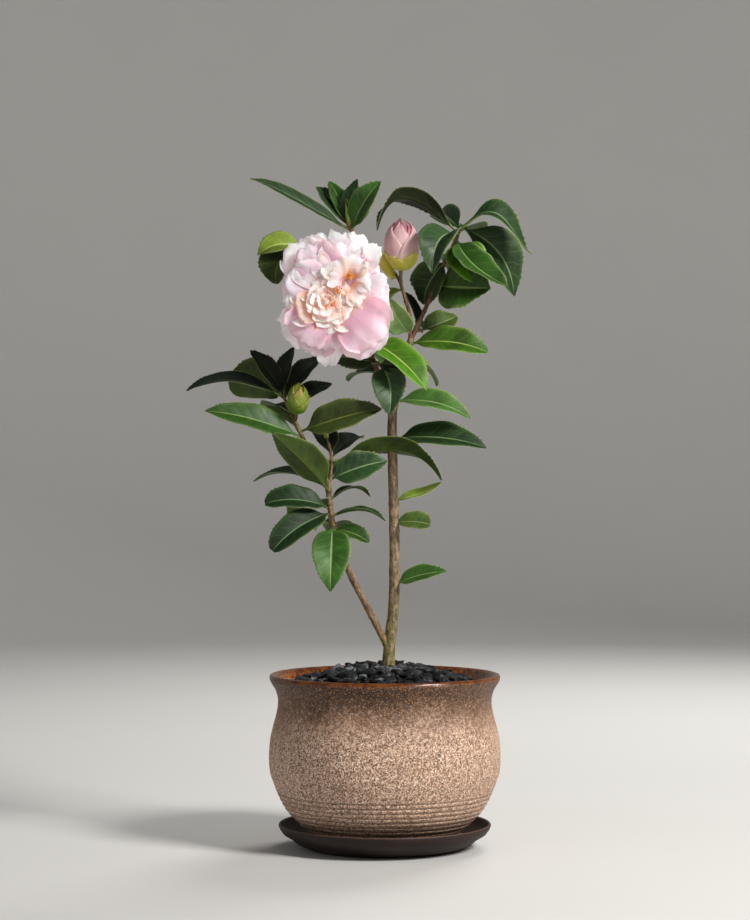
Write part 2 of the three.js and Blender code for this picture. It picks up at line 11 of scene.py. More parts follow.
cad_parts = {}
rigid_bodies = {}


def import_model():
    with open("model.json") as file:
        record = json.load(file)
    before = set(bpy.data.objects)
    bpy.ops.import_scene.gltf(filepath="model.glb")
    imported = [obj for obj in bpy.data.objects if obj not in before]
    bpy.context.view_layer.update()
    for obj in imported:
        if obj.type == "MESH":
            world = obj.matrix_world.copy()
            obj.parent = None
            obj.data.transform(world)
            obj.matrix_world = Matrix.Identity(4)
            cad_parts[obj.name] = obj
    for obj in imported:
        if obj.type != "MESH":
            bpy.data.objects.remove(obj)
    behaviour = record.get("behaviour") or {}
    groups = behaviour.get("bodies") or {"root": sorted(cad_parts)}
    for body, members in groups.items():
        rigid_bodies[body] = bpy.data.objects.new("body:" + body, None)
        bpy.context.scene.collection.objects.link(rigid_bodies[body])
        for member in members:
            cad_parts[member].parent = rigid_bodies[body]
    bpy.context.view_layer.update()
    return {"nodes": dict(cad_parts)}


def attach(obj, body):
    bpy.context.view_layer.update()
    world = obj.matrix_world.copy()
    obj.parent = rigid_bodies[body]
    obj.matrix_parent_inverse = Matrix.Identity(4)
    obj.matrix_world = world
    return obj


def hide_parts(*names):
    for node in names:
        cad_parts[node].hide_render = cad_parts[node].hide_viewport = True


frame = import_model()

MM = 0.001
SHOWN = bpy.context.scene.collection.objects

# ---- Camera, floor and lights ----
camera = bpy.data.objects.new("camera", bpy.data.cameras.new("camera"))
camera.data.lens = 100
camera.data.sensor_width = 36
camera.location = (-0.0084, -2.203, 0.333)
camera.rotation_euler = (math.pi / 2, 0, 0)
SHOWN.link(camera)
bpy.context.scene.camera = camera
bpy.context.scene.view_settings.view_transform = "Standard"


def lamp(name, place, target, size, power, colour=(1, 1, 1)):
    made = bpy.data.objects.new(name, bpy.data.lights.new(name, "AREA"))
    made.data.size = size
    made.data.energy = power
    made.data.color = colour
    made.location = place
    made.rotation_euler = (Vector(target) - Vector(place)).to_track_quat("-Z", "Y").to_euler()
    SHOWN.link(made)
    return made


lamp("key", (1.5, -1.25, 1.55), (0, 0, 0.33), 0.6, 70, (1, 0.975, 0.94))
lamp("fill", (-1.6, -1.8, 1.1), (0, 0, 0.3), 1.6, 2.5, (0.97, 0.98, 1))
back = lamp("back", (0.7, 1.5, 1.5), (0, 0, 0.4), 0.9, 30, (1, 0.99, 0.96))
# No white glints from behind on the waxy leaves.
back.visible_glossy = False


# ---- Node trees written as expressions ----
def sign(how, swapped=False):
    """A method for one of Python's signs, which adds a Math node."""

    def method(self, other):
        return self.sum(how, other, self) if swapped else self.sum(how, self, other)

    return method


class Value:
    """A node's output that takes part in Python sums, each of which adds its Math node."""

    __add__, __radd__ = sign("ADD"), sign("ADD", True)
    __sub__, __rsub__ = sign("SUBTRACT"), sign("SUBTRACT", True)
    __mul__, __pow__ = sign("MULTIPLY"), sign("POWER")

    def __init__(self, tree, socket):
        self.tree, self.socket = tree, socket

    def sum(self, how, first, second=0.0):
        return self.tree.node("ShaderNodeMath", {"operation": how}, {0: first, 1: second})

    def __abs__(self):
        return self.sum("ABSOLUTE", self)

    def fraction(self):
        return self.sum("FRACT", self)

    def step(self, low, high):
        """0 below low and 1 above high, or the other way round where low is the larger."""
        inputs = {"Value": self, "From Min": low, "From Max": high}
        return self.tree.node("ShaderNodeMapRange", {"interpolation_type": "SMOOTHSTEP"}, inputs)


class Tree:
    """A node tree that is filled from Python."""

    def __init__(self, tree):
        self.tree = tree

    def node(self, kind, settings=None, inputs=None, out=0):
        made = self.tree.nodes.new(kind)
        for name, value in (settings or {}).items():
            setattr(made, name, value)
        for name, value in (inputs or {}).items():
            if isinstance(name, int):
                socket = made.inputs[name]
            else:
                socket = next(s for s in made.inputs if name in (s.identifier, s.name))
            if isinstance(value, Value):
                self.tree.links.new(value.socket, socket)
            else:
                socket.default_value = value
        return Value(self, made.outputs[out])


def paint(code, shine=1.0):
    """A colour from its hexadecimal code, as the shader takes it, times its shine."""
    parts = [int(code[i : i + 2], 16) / 255 for i in (0, 2, 4)]
    parts = [x / 12.92 if x < 0.04045 else ((x + 0.055) / 1.055) ** 2.4 for x in parts]
    return (*(min(1, x * shine) for x in parts), 1)


class Finish(Tree):
    """A material: its patterns are Values, and what is the same all over is set on the shader."""

    def __init__(self, name, **same):
        self.material = bpy.data.materials.new(name)
        self.material.use_nodes = True
        super().__init__(self.material.node_tree)
        self.shader = self.tree.nodes["Principled BSDF"]
        for socket, value in same.items():
            self.shader.inputs[socket.replace("_", " ")].default_value = value

    def place(self, scale=(1, 1, 1)):
        here = self.node("ShaderNodeTexCoord", out=3)
        return self.node("ShaderNodeMapping", {}, {"Vector": here, "Scale": scale})

    def parts(self, vector):
        made = self.node("ShaderNodeSeparateXYZ", {}, {"Vector": vector})
        return [Value(self, s) for s in made.socket.node.outputs]

    def blade(self):
        """How far across and how far along its leaf, petal or scale a point lies."""
        return self.parts(self.node("ShaderNodeUVMap", {"uv_map": "blade"}))[:2]

    def layer(self, name):
        """A number that each point of the mesh carries."""
        return self.node("ShaderNodeAttribute", {"attribute_name": name}, {}, out=2)

    def noise(self, where, scale, detail=2.0, rough=0.5, warp=0.0):
        inputs = {"Vector": where, "Scale": scale, "Detail": detail, "Roughness": rough}
        return self.node("ShaderNodeTexNoise", {}, {**inputs, "Distortion": warp})

    def cells(self, where, scale, feature="F1"):
        inputs = {"Vector": where, "Scale": scale}
        return self.node("ShaderNodeTexVoronoi", {"feature": feature}, inputs)

    def mix(self, mask, first, second):
        inputs = {"Factor_Float": mask, "A_Color": first, "B_Color": second}
        return self.node("ShaderNodeMix", {"data_type": "RGBA"}, inputs, out=2)

    def over(self, base, *coats):
        """Lays coats of (mask, colour, shine) over a base, one after the other."""
        for mask, *colour in coats:
            base = self.mix(mask, base, paint(*colour))
        return base

    def feed(self, socket, value):
        self.tree.links.new(value.socket, self.shader.inputs[socket])

    def use(self, colour, rough, height, depth=1.0, strength=1.0):
        """Feeds the shader. height is the relief in millimetres once multiplied by depth."""
        inputs = {"Height": height, "Distance": depth * MM, "Strength": strength}
        self.feed("Base Color", colour)
        if rough is not None:
            self.feed("Roughness", rough)
        self.feed("Normal", self.node("ShaderNodeBump", {}, inputs))
        return self.material


# ---- Sizes, in millimetres ----
# A limb's rings show where leaves once grew, as shares of its length.
LIMBS = {
    "main_stem": {
        "path": [
            (3, 0, 150.6), (4, 0, 172), (7.5, 0, 205), (8.5, 0, 245), (7.8, 0, 292),
            (6.6, 0, 345), (7, 0, 376), (13, 0, 406), (23, 0, 438),
        ],
        "thick": 4.9, "thin": 2.9, "flare": 1.5, "stouter": 0.45, "steps": 140,
        "bark": "main", "rings": [0.13, 0.3, 0.42, 0.5, 0.69, 0.8, 0.9],
    },
    "side_stem": {
        "path": [(4, 0, 168), (-2, -2, 181), (-16, -5, 208), (-32, -9, 240), (-44, -12, 272)],
        "thick": 3, "thin": 2.7, "bark": "side", "rings": [0.3, 0.62, 0.85],
    },
    "right_shoot": {
        "path": [(21, 0, 433), (26, 1, 444), (33, 2, 459), (40, 3, 474)],
        "thick": 2.1, "thin": 1.7,
    },
    "top_shoot": {
        "path": [
            (21.5, 0, 435), (22, -2, 455), (17, -1, 474), (11, 4, 491), (-5, 6, 506), (-20, 6, 519),
        ],
        "thick": 1.6, "thin": 1.4,
    },
    "bloom_shoot": {
        "path": [(6.5, 0, 374), (-2, -3, 398), (-9, -5, 417), (-21, -6, 444), (-32, -6, 464)],
        "thick": 2.4, "thin": 1.8,
    },
}

# Each mass: its seed, the limb that it grows on or twigs of its own (path, first and last radius),
# its leaves and its small buds (foot, tip and width). Each leaf: where on its twig it starts, its
# tip, its width, how far its middle is raised, the way its upper side looks, the finishes of its
# upper side and its underside, and what is special to it.
FOLIAGE = {
    "top_left_foliage": (11, [
        ([(-20, 6, 519), (-26, 5, 527), (-30, 4, 533)], 1.5, 1.4),
    ], [
        ((-30, 4, 533), (-116, -10, 574), 19, 2, (0.3, -0.6, 0.75), "dark lime", {"late": 1.6}),
        ((-29, 4, 533), (-57, 36, 573), 21, 3, (0.35, -0.9, 0.3), "dark mid"),
        ((-29, 4, 533), (-25, 16, 577), 20, 3, (-0.6, -0.7, 0.2), "dark mid"),
        ((-30, 5, 533), (-46, 34, 577), 17, 3, (0.2, -0.8, 0.4), "mid mid"),
        ((-28, 4, 532), (-4, -12, 573), 27, 4, (-0.5, -0.8, 0.3), "fresh mid"),
        ((-26, 4, 531), (-24, 62, 556), 26, 8, (0.1, -0.5, 0.8), "mid mid"),
    ], [
        ((-30, 4, 532), (-33, 4, 559), 4.5),
    ]),
    "top_right_foliage": (12, [
        ([(40, 3, 474), (48, 4, 494), (58, 4, 516), (66, 4, 534)], 1.8, 1.4),
    ], [
        # Its dark underside is painted shade.
        ((62, 4, 530), (-6, -30, 529), 25, 34, (0.1, 0.6, 0.8), "dark shade"),
        ((64, 4, 533), (46, 60, 551), 26, 5, (-0.3, -0.6, 0.75), "dark mid"),
        ((65, 4, 533), (127.5, 6, 512), 33, 22, (0.1, -0.55, 0.8), "dark lime",
         {"late": -0.8, "blunt": -0.7}),
        ((65, 4, 534), (113, 26, 476), 42, 5, (0.3, -0.9, 0.3), "dark mid", {"bow": -11}),
        ((61, 4, 526), (103, -40, 479), 32, 1, (0.35, -0.85, 0.45), "mid mid", {"bow": 10}),
        ((44, 3, 484), (90, -26, 479), 48, 2, (0.1, -0.95, 0.25), "mid mid", {"bow": 2}),
        # This leaf's lighter green is partly its own colour, partly painted light where other
        # leaves shade it.
        ((60, 4, 522), (80, -18, 485), 37, 4, (0.1, -0.95, 0.3), "bright mid"),
        ((53, 4, 506), (34, 22, 469), 36, 7, (-0.4, -0.85, 0.3), "dark mid"),
        ((62, 4, 529), (43, -36, 491), 37, 14, (-0.2, -0.8, 0.6), "grey mid",
         {"bow": 4, "fold": 30}),
        ((64, 4, 532), (86, 66, 520), 29, 10, (0.1, 0.2, 0.97), "mid mid"),
        ((54, 4, 508), (64, 72, 490), 28, 10, (0, 0.2, 0.98), "mid mid"),
    ], [
        ((43.5, 2, 480), (49, -2, 489), 3.5),
    ]),
    "right_shoot_foliage": (13, [
        ([(26, 1, 444), (29, 5, 445), (33, 9, 445)], 1.5, 1.2),
    ], [
        ((31, 7, 445), (62, 26, 459), 25, 2, (-0.1, -0.8, 0.6), "sage lime", {"bow": 3}),
        ((31, 7, 445), (18, 24, 480), 13, 2, (0.7, -0.7, 0.2), "deep mid"),
        ((32, 8, 445), (50, 62, 442), 27, 9, (0, 0.1, 0.99), "mid mid"),
    ]),
    "bud_stalk_leaf": (14, "top_shoot", [
        ((15, 1, 481), (-4, 6, 466), 15, 3, (-0.4, 0.5, 0.75), "olive lime"),
    ]),
    "fork_leaf_right": (15, "main_stem", [
        ((21, 0, 433), (88, -16, 427), 30, 7, (0, -0.8, 0.6), "fresh_lit pale", {"blunt": 0.4}),
    ]),
    "fork_leaf_left": (16, "top_shoot", [
        ((22, -1, 442), (2, -20, 470), 26, 5, (-0.5, -0.8, 0.4), "silver pale"),
    ]),
    "fork_leaf_back": (17, "main_stem", [
        ((18, 0, 424), (46, 24, 396), 24, 4, (0.6, -0.2, 0.75), "pale pale"),
    ]),
    "fork_leaf_hidden": (18, "main_stem", [
        ((12, 0, 402), (-12, 56, 424), 27, 9, (0, -0.3, 0.95), "mid mid"),
    ]),
    "bloom_shoot_leaf_front": (19, "bloom_shoot", [
        # This leaf's lighter green is partly its own colour, partly painted light.
        ((-18, -6, 438), (34, -40, 391), 37, 7, (0.5, -0.75, 0.5), "bright pale"),
    ]),
    "bloom_shoot_foliage": (20, [
        ([(-9, -5, 417), (-6, -10, 416), (-4, -15, 414)], 1.5, 1.3),
    ], [
        ((-4, -14, 414), (2, -36, 371), 31, 5, (-0.1, -0.95, 0.2), "grey mid", {"bow": -6}),
        ((-7, -8, 416), (-50, -16, 420), 24, 4, (0, -0.92, 0.38), "dark mid"),
        ((-5, -12, 415), (24, -15, 408), 25, 5, (0.2, -0.9, 0.4), "dark mid"),
    ]),
    "bloom_shoot_leaf_back": (21, "bloom_shoot", [
        ((-6, -4, 409), (-31, 30, 402), 20, 4, (0.2, -0.7, 0.65), "deep mid"),
    ]),
    "stem_leaf_top": (23, "main_stem", [
        ((8, 0, 386), (73, -18, 368), 26, 9, (0.2, -0.75, 0.65), "soft pale"),
    ]),
    "stem_leaf_upper": (24, "main_stem", [
        ((5, 0, 350), (87, -16, 343), 33, 6, (0, -0.66, 0.75), "dark pale"),
    ]),
    "stem_leaf_narrow": (25, "main_stem", [
        ((5, 0, 297), (49, 8, 314), 15, -4, (-0.35, -0.5, 0.8), "lime lime"),
    ]),
    "stem_leaf_small": (26, "main_stem", [
        ((5.5, 0, 281), (39, -9, 278), 19, 3, (0.2, -0.85, 0.5), "sage lime", {"blunt": 1}),
    ]),
    "stem_leaf_lowest": (27, "main_stem", [
        ((5.3, 0, 224), (53, -14, 238), 20, 3, (-0.2, -0.7, 0.7), "fresh pale"),
    ]),
    "behind_bloom_foliage": (28, [
        ([(-32, -6, 464), (-50, 8, 492), (-70, 8, 516)], 1.7, 1.3),
    ], [
        ((-69, 8, 515), (-109, -6, 508), 28, 9, (-0.1, -0.7, 0.65), "lime olive"),
        ((-66, 8, 512), (-91, -20, 483), 41, 8, (-0.5, -0.8, 0.35), "olive olive",
         {"bow": 8, "blunt": 0.4}),
        ((-66, 8, 512), (-74, 66, 494), 30, 10, (0, 0.2, 0.98), "mid mid"),
        ((-52, 8, 495), (-22, 58, 494), 30, 10, (0, -0.1, 0.99), "mid mid"),
        ((-46, 5, 486), (-56, 62, 458), 29, 9, (0, 0.4, 0.9), "mid mid"),
    ]),
    "left_lower_foliage": (29, [
        ([(-44, -12, 272), (-46, -12, 286), (-48, -12, 300)], 2.7, 2.4),
    ], [
        # The near-black green of these two leaves is partly painted shade.
        ((-47, -12, 292), (-102, -22, 294), 28, 8, (-0.1, -0.75, 0.65), "dusk mid", {"blunt": 0.6}),
        ((-46, -12, 288), (-95, -42, 256), 31, 8, (-0.4, -0.85, 0.3), "dusk mid", {"blunt": 0.6}),
        ((-45, -12, 277), (-46, -46, 222), 34, 10, (0, -0.95, 0.3), "fresh pale"),
        ((-44, -12, 274), (-13, -20, 264), 18, 3, (0, -0.7, 0.7), "mid lime", {"blunt": 0.6}),
        ((-48, -12, 299), (-11, 14, 301), 12, 9, (0, 0, 1), "olive olive"),
        ((-46, -12, 286), (1, -26, 281), 15, 7, (0, -0.1, 1), "dark mid"),
        ((-45, -12, 279), (-58, 26, 272), 16, 4, (0, -0.5, 0.85), "olive lime"),
        ((-47, -12, 294), (-84, 42, 280), 28, 9, (0, 0.1, 0.99), "mid mid"),
        ((-45, -12, 280), (-36, 42, 250), 28, 8, (0, 0.3, 0.95), "mid mid"),
    ]),
    "left_middle_foliage": (30, [
        ([(-48, -12, 301), (-49, -12, 313), (-60, -10, 333)], 2.4, 2),
        ([(-48.5, -12, 310), (-46, -11, 324), (-46, -12, 337), (-50, -14, 353)], 1.6, 1),
    ], [
        ((-48, -12, 306), (-94, -42, 357), 34, -5, (0.3, 0.9, 0.3), "dark olive", {"bow": -5}),
        ((-49, -12, 312), (-113, 12, 315), 18, 9, (0, -0.35, 0.94), "deep mid"),
        ((-47, -12, 316), (2, -14, 332), 29, 5, (0, -0.9, 0.42), "grey mid"),
        # Its dark underside is partly painted shade.
        ((-46, -12, 332), (48, -38, 316), 27, 23, (0.1, 0.6, 0.8), "dark moss"),
        ((-46, -12, 336), (-59, 30, 360), 24, 5, (0.2, -0.8, 0.5), "deep mid"),
        ((-46, -12, 334), (-20, 34, 352), 24, 6, (-0.2, -0.7, 0.65), "deep mid"),
        ((-48, -12, 308), (-72, 50, 328), 28, 9, (0, -0.2, 0.98), "mid mid"),
        ((-47, -12, 320), (-16, 48, 318), 26, 9, (0, 0.1, 0.99), "mid mid"),
    ], [
        ((-49.5, -14, 351), (-51, -14, 358), 4),
    ]),
    "left_top_foliage": (31, [
        ([(-60, -10, 333), (-71, -7, 353), (-81, -4, 375), (-88, 0, 389)], 2, 1.4),
    ], [
        # The near-black green of these leaves is partly painted shade.
        ((-88, 0, 389), (-170, -10, 391), 25, 12, (0, -0.45, 0.9), "deep mid"),
        ((-87, 0, 387), (-138, 52, 403), 39, 3, (0.3, 0.9, 0.2), "deep olive",
         {"bow": -8, "blunt": 1}),
        ((-88, 0, 388), (-116, -4, 427), 23, 3, (0.6, -0.7, 0.4), "deep mid"),
        ((-88, 0, 389), (-80, 14, 431), 21, 3, (-0.6, -0.7, 0.3), "deep mid"),
        ((-86, 0, 386), (-56, 24, 423), 23, 4, (-0.4, -0.8, 0.4), "deep mid"),
        ((-83, -2, 379), (-46, 26, 399), 20, 4, (-0.1, -0.7, 0.7), "deep mid"),
        ((-71, -7, 353), (-154, -26, 373), 29, 6, (-0.2, -0.75, 0.65), "mid pale"),
        ((-75, -6, 362), (-112, 18, 377), 16, 4, (0.1, -0.5, 0.85), "pale pale"),
        ((-73, -7, 357), (-3, -28, 378), 32, 3, (-0.1, -0.88, 0.45), "olive olive"),
        ((-86, 0, 384), (-102, 64, 400), 28, 9, (0, -0.2, 0.98), "mid mid"),
        ((-78, -4, 368), (-106, 52, 374), 27, 9, (0, 0, 1), "deep mid"),
    ]),
}


# ---- Lines and smooth rules ----
def crossing(knots):
    """A smooth function through [place, value] knots in order."""
    places = [k[0] for k in knots]
    values = [k[1] for k in knots]
    last = len(knots) - 1
    slopes = []
    for i in range(last + 1):
        low, high = max(i - 1, 0), min(i + 1, last)
        slopes.append((values[high] - values[low]) / (places[high] - places[low]))

    def value(x):
        i = max(0, min(last - 1, sum(x >= p for p in places) - 1))
        span = places[i + 1] - places[i]
        t = (x - places[i]) / span
        bend = slopes[i] * span * t * (1 - t) ** 2 - slopes[i + 1] * span * t * t * (1 - t)
        return values[i] + (values[i + 1] - values[i]) * t * t * (3 - 2 * t) + bend

    return value


class Line:
    """A centripetal curve through points, read by its length or by its knots."""

    PARTS = 200

    def __init__(self, points):
        self.points = [Vector(p) for p in points]
        self.table = [self.at_knots(i / self.PARTS) for i in range(self.PARTS + 1)]
        self.lengths = [0.0]
        for a, b in zip(self.table, self.table[1:]):
            self.lengths.append(self.lengths[-1] + (b - a).length)

    def at_knots(self, t):
        p = self.points
        last = len(p) - 1
        i = min(int(t * last), last - 1)
        w = t * last - i
        before = p[i - 1] if i else 2 * p[0] - p[1]
        after = p[i + 2] if i + 2 <= last else 2 * p[last] - p[last - 1]
        four = (before, p[i], p[i + 1], after)
        d0, d1, d2 = (max((b - a).length, 1e-4) ** 0.5 for a, b in zip(four, four[1:]))
        a, b, c, d = four
        out = ((b - a) / d0 - (c - a) / (d0 + d1) + (c - b) / d1) * d1
        into = ((c - b) / d1 - (d - b) / (d1 + d2) + (d - c) / d2) * d1
        square, cube = 3 * (c - b) - 2 * out - into, 2 * (b - c) + out + into
        return b + out * w + square * w**2 + cube * w**3

    def at(self, share):
        goal = share * self.lengths[-1]
        i = next((k for k, s in enumerate(self.lengths) if s >= goal), self.PARTS)
        i = max(1, min(self.PARTS, i))
        low, high = self.lengths[i - 1], self.lengths[i]
        return self.table[i - 1].lerp(self.table[i], (goal - low) / max(high - low, 1e-9))


def seeded(seed):
    """Repeatable numbers from 0 to 1, as the solids use."""
    spread, factor, modulus = 7919, 16807, 2147483647
    state = seed * spread
    while True:
        state = state * factor % modulus
        yield state / modulus


def nearest(lines, target, parts=60):
    spots = [line.at_knots(i / parts) for line in lines for i in range(parts + 1)]
    return min(spots, key=lambda p: (p - Vector(target)).length)


def lerp(a, b, t):
    return a + (b - a) * t


def clamp(x):
    return max(0.0, min(1.0, x))


# ---- Making pieces ----
def finished(name, mesh, nodes=(), smooth=True):
    """The object for a finished mesh, which rides on the body and stands for the nodes."""
    made = bpy.data.objects.new(name, mesh)
    SHOWN.link(made)
    if smooth:
        mesh.polygons.foreach_set("use_smooth", [True] * len(mesh.polygons))
    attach(made, "root")
    if nodes:
        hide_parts(*nodes)
    return made


class Sheets:
    """Collects thin closed sheets, such as leaves or petals, into one mesh with two maps. "blade"
    runs across and along each sheet, and "OFBake" gives each side of a sheet a cell of its own."""

    def __init__(self):
        self.points, self.faces, self.finishes = [], [], []
        self.blade, self.cell = [], []
        self.materials = []
        self.cells = 0

    def slot(self, material):
        if material not in self.materials:
            self.materials.append(material)
        return self.materials.index(material)

    def add(self, pairs, across, top, under):
        """pairs has rows of (point above, point below) from root to tip, at the places across."""
        start, wide, rows = len(self.points), len(across), len(pairs)
        across = [(a + 1) / 2 for a in across]
        longs = [i / (rows - 1) for i in range(rows)]
        for side in (0, 1):
            self.points.extend(pair[side] for row in pairs for pair in row)

        def quad(corners, backwards, material, cell, spot):
            """A face over corners of (row, place in the row, side), where side 1 is below."""
            if backwards:
                corners.reverse()
            self.faces.append([start + (side * rows + i) * wide + j for i, j, side in corners])
            self.blade.extend((across[j], longs[i]) for i, j, _ in corners)
            self.finishes.append(self.slot(material))
            self.cell.extend((cell, *spot(*corner)) for corner in corners)

        def inside(i, j, _):
            return 0.04 + 0.92 * across[j], 0.03 + 0.94 * longs[i]

        for side, material in ((0, top), (1, under)):
            for i in range(rows - 1):
                for j in range(wide - 1):
                    turn = ((0, 0), (0, 1), (1, 1), (1, 0))
                    corners = [(i + up, j + right, side) for up, right in turn]
                    quad(corners, side, material, self.cells + side, inside)
        for j, inner, outer in ((0, 0.04, 0.0), (wide - 1, 0.96, 1.0)):
            for i in range(rows - 1):
                corners = [(i, j, 0), (i + 1, j, 0), (i + 1, j, 1), (i, j, 1)]
                quad(corners, j, under, self.cells,
                     lambda *c: (outer if c[2] else inner, inside(*c)[1]))
        for i, inner, outer in ((0, 0.03, 0.0), (rows - 1, 0.97, 1.0)):
            for j in range(wide - 1):
                corners = [(i, j, 1), (i, j + 1, 1), (i, j + 1, 0), (i, j, 0)]
                quad(corners, i, under, self.cells,
                     lambda *c: (inside(*c)[0], outer if c[2] else inner))
        self.cells += 2

    def mesh(self, name):
        made = bpy.data.meshes.new(name)
        made.from_pydata([p * MM for p in self.points], [], self.faces)
        for material in self.materials:
            made.materials.append(material)
        made.polygons.foreach_set("material_index", self.finishes)
        columns = math.ceil(math.sqrt(self.cells / 0.45))
        rows = math.ceil(self.cells / columns)
        baked = []
        for cell, u, v in self.cell:
            column, row = cell % columns, cell // columns
            baked += [(column + 0.03 + 0.94 * u) / columns, (row + 0.03 + 0.94 * v) / rows]
        blade = [x for uv in self.blade for x in uv]
        made.uv_layers.new(name="OFBake").data.foreach_set("uv", baked)
        made.uv_layers.new(name="blade").data.foreach_set("uv", blade)
        made.validate()
        return made


# ---- Leaf finishes ----
def leaf_finish(name, main, vein, gloss):
    """A blade with a light midrib, side veins that curve to the tip, and a pale toothed edge."""
    made = Finish(name, Specular_IOR_Level=0.27)
    u, v = made.blade()
    out = abs(u * 2 - 1)
    here = made.place()
    cloudy = made.noise(here, 55, 3)
    slack = (made.noise(here, 90, 2) - 0.5) * 0.5
    line = abs((v * 7.5 - out * 1.7 + out * out * 0.5 + slack).fraction() - 0.5)
    side = line.step(0.075, 0.0) * out.step(0.95, 0.6)
    middle = out.step(0.07, 0.025)
    net = made.cells(here, 620, "DISTANCE_TO_EDGE").step(0.08, 0.0)
    base = made.over(
        made.mix(cloudy.step(0.34, 0.62), paint(main, 0.55), paint(main)),
        (made.noise(here, 30, 2).step(0.5, 0.68) * 0.35, main, 1.5),
        (out.step(0.7, 1.0) * 0.2, vein),
        (net * 0.14, vein),
        (side * 0.16, vein),
        (middle * 0.75, vein),
        (out.step(0.94, 1.0) * 0.45, "a4b070"),
    )
    relief = line.step(0.0, 0.5) * 0.2 + middle * -0.6 + cloudy * 0.5 - net * 0.08
    return made.use(base, gloss + made.noise(here, 140, 2) * 0.2, relief, 1.1, 0.5)


# Each upper side's colour, its veins' colour and how dull it is.
LEAF = {
    # The darkest greens, deep and dusk, are partly the leaves' own dark colour, partly painted
    # shade for leaves on the shaded side and at the back.
    "deep": ("131d10", "2c3c26", 0.52),
    "dark": ("18320f", "749060", 0.34),
    "dusk": ("10290a", "6c8c5c", 0.42),
    "mid": ("264a12", "86a45e", 0.34),
    "fresh": ("345f1c", "96b272", 0.34),
    # This lighter copy of the green is partly the leaves' own fresh colour, partly painted light
    # for leaves that lie in the shade of others.
    "bright": ("447a0c", "a6c25c", 0.36),
    "fresh_lit": ("325a0c", "9cb858", 0.34),
    "soft": ("446c2c", "a0bc78", 0.34),
    "silver": ("86ac64", "c4d8a4", 0.3),
    "lime": ("72882a", "bcc874", 0.4),
    "olive": ("38471c", "7c8440", 0.42),
    "grey": ("264420", "8ea67c", 0.32),
    "sage": ("445c22", "94a25e", 0.38),
    "pale": ("6a8446", "acbc84", 0.44),
}
UNDERSIDE = {
    "mid": ("3a5224", "7a8e4c", 0.5),
    "lime": ("6e9028", "a8bc60", 0.5),
    "olive": ("374c14", "74803a", 0.5),
    # This dark olive underside is partly the leaf's own colour, partly painted shade, for an arched
    # leaf seen from below.
    "moss": ("30440c", "66742e", 0.5),
    # This near-black underside is painted shade, for the arched leaf whose underside is seen in its
    # own shadow.
    "shade": ("161f04", "44501c", 0.5),
    "pale": ("728e52", "acba84", 0.5),
}
LEAF_FINISHES = {name: leaf_finish("leaf_" + name, *how) for name, how in LEAF.items()}
UNDERSIDES = {name: leaf_finish("underside_" + name, *how) for name, how in UNDERSIDE.items()}

# ---- Leaves ----
# Half width of a blade from its root to its tip, as shares of its widest, and that of a blunt one.
OUTLINE = crossing([
    (0, 0.06), (0.09, 0.08), (0.24, 0.74), (0.44, 1), (0.64, 0.92), (0.84, 0.55), (0.94, 0.25),
    (1, 0.03),
])
BLUNT = crossing([
    (0, 0.06), (0.09, 0.08), (0.24, 0.6), (0.44, 0.88), (0.64, 1), (0.84, 0.92), (0.95, 0.66),
    (1, 0.36),
])
ACROSS = (-1, -0.86, -0.6, -0.3, -0.09, 0, 0.09, 0.3, 0.6, 0.86, 1)
TOOTH_PITCH, TOOTH_REACH, TOOTH_LEAN = 3.1, 0.55, 1.1
LEAF_THICK, STALK_RADIUS, RIB_RADIUS = 0.5, 1.15, 0.22
# The shares of its length where the stalk ends and where the blade is fully open.
STALK_END, BLADE_START = 0.07, 0.16
TURN = 6.28


def leaf(sheets, root, tip, wide, arch, face, tint, sway, fold, shape, late, bow, blunt):
    """One leaf: a short stalk that widens into a folded, arched blade with toothed edges."""
    along = tip - root
    length = along.length
    forward = along.normalized()
    up = Vector(face)
    up = (up - forward * up.dot(forward)).normalized()
    side = forward.cross(up)
    lean = math.radians(fold)
    halves = 2 * max(8, round(length * 0.8 / TOOTH_PITCH))
    shares = [0, 0.03, STALK_END, 0.1, 0.13, BLADE_START]
    shares += [BLADE_START + (1 - BLADE_START) * (k + 1) / halves for k in range(halves)]
    wave = 0.02 * wide * (0.5 + next(shape))
    turns, phase = 1.5 + 2 * next(shape), TURN * next(shape)
    pairs = []
    for k, share in enumerate(shares):
        half = wide / 2 * lerp(OUTLINE(share), BLUNT(share), blunt)
        half = max(half, min(1.0, 0.03 * wide) if share < 0.2 else 0.25)
        hump = 4 * share * (1 - share)
        raised = arch * hump * (1 + late * (2 * share - 1))
        slope = 4 * arch * (1 - 2 * share) / length
        normal = (up - forward * slope).normalized()
        bare = clamp((share - STALK_END) / 0.1)
        rib = lerp(STALK_RADIUS, RIB_RADIUS, clamp(share * 1.5) ** 0.6)
        middle = root + along * share + up * raised + side * (bow * hump + sway * share**2)
        tooth = (k % 2) * clamp((share - 0.18) * 9) * clamp((0.99 - share) * 12)
        tooth *= 0.9 + 0.5 * math.sin(k * 2.4 + phase)
        pairs.append([])
        for a in ACROSS:
            b = abs(a)
            reach = half * a
            ahead = 0.0
            if b == 1:
                reach += math.copysign(TOOTH_REACH * tooth, a)
                ahead = TOOTH_LEAN * tooth
            rise = half * math.sin(lean) * (1.35 * b - 0.35 * b * b) * bare
            ripple = math.sin(turns * TURN * share + phase + (1.9 if a > 0 else 0))
            rise += wave * b * b * ripple * bare
            round_rib = math.sqrt(max(0.0, 1 - (b * half / (rib * 1.15)) ** 2))
            thick = LEAF_THICK * (1 - 0.6 * b) + 2 * rib * round_rib
            spot = middle + side * reach * math.cos(lean) + normal * rise + forward * ahead
            below = LEAF_THICK / 2 - thick * (1 if share < 1 else 0.5)
            pairs[-1].append((spot + normal * (LEAF_THICK / 2), spot + normal * below))
    top, under = tint.split()
    sheets.add(pairs, ACROSS, LEAF_FINISHES[top], UNDERSIDES[under])


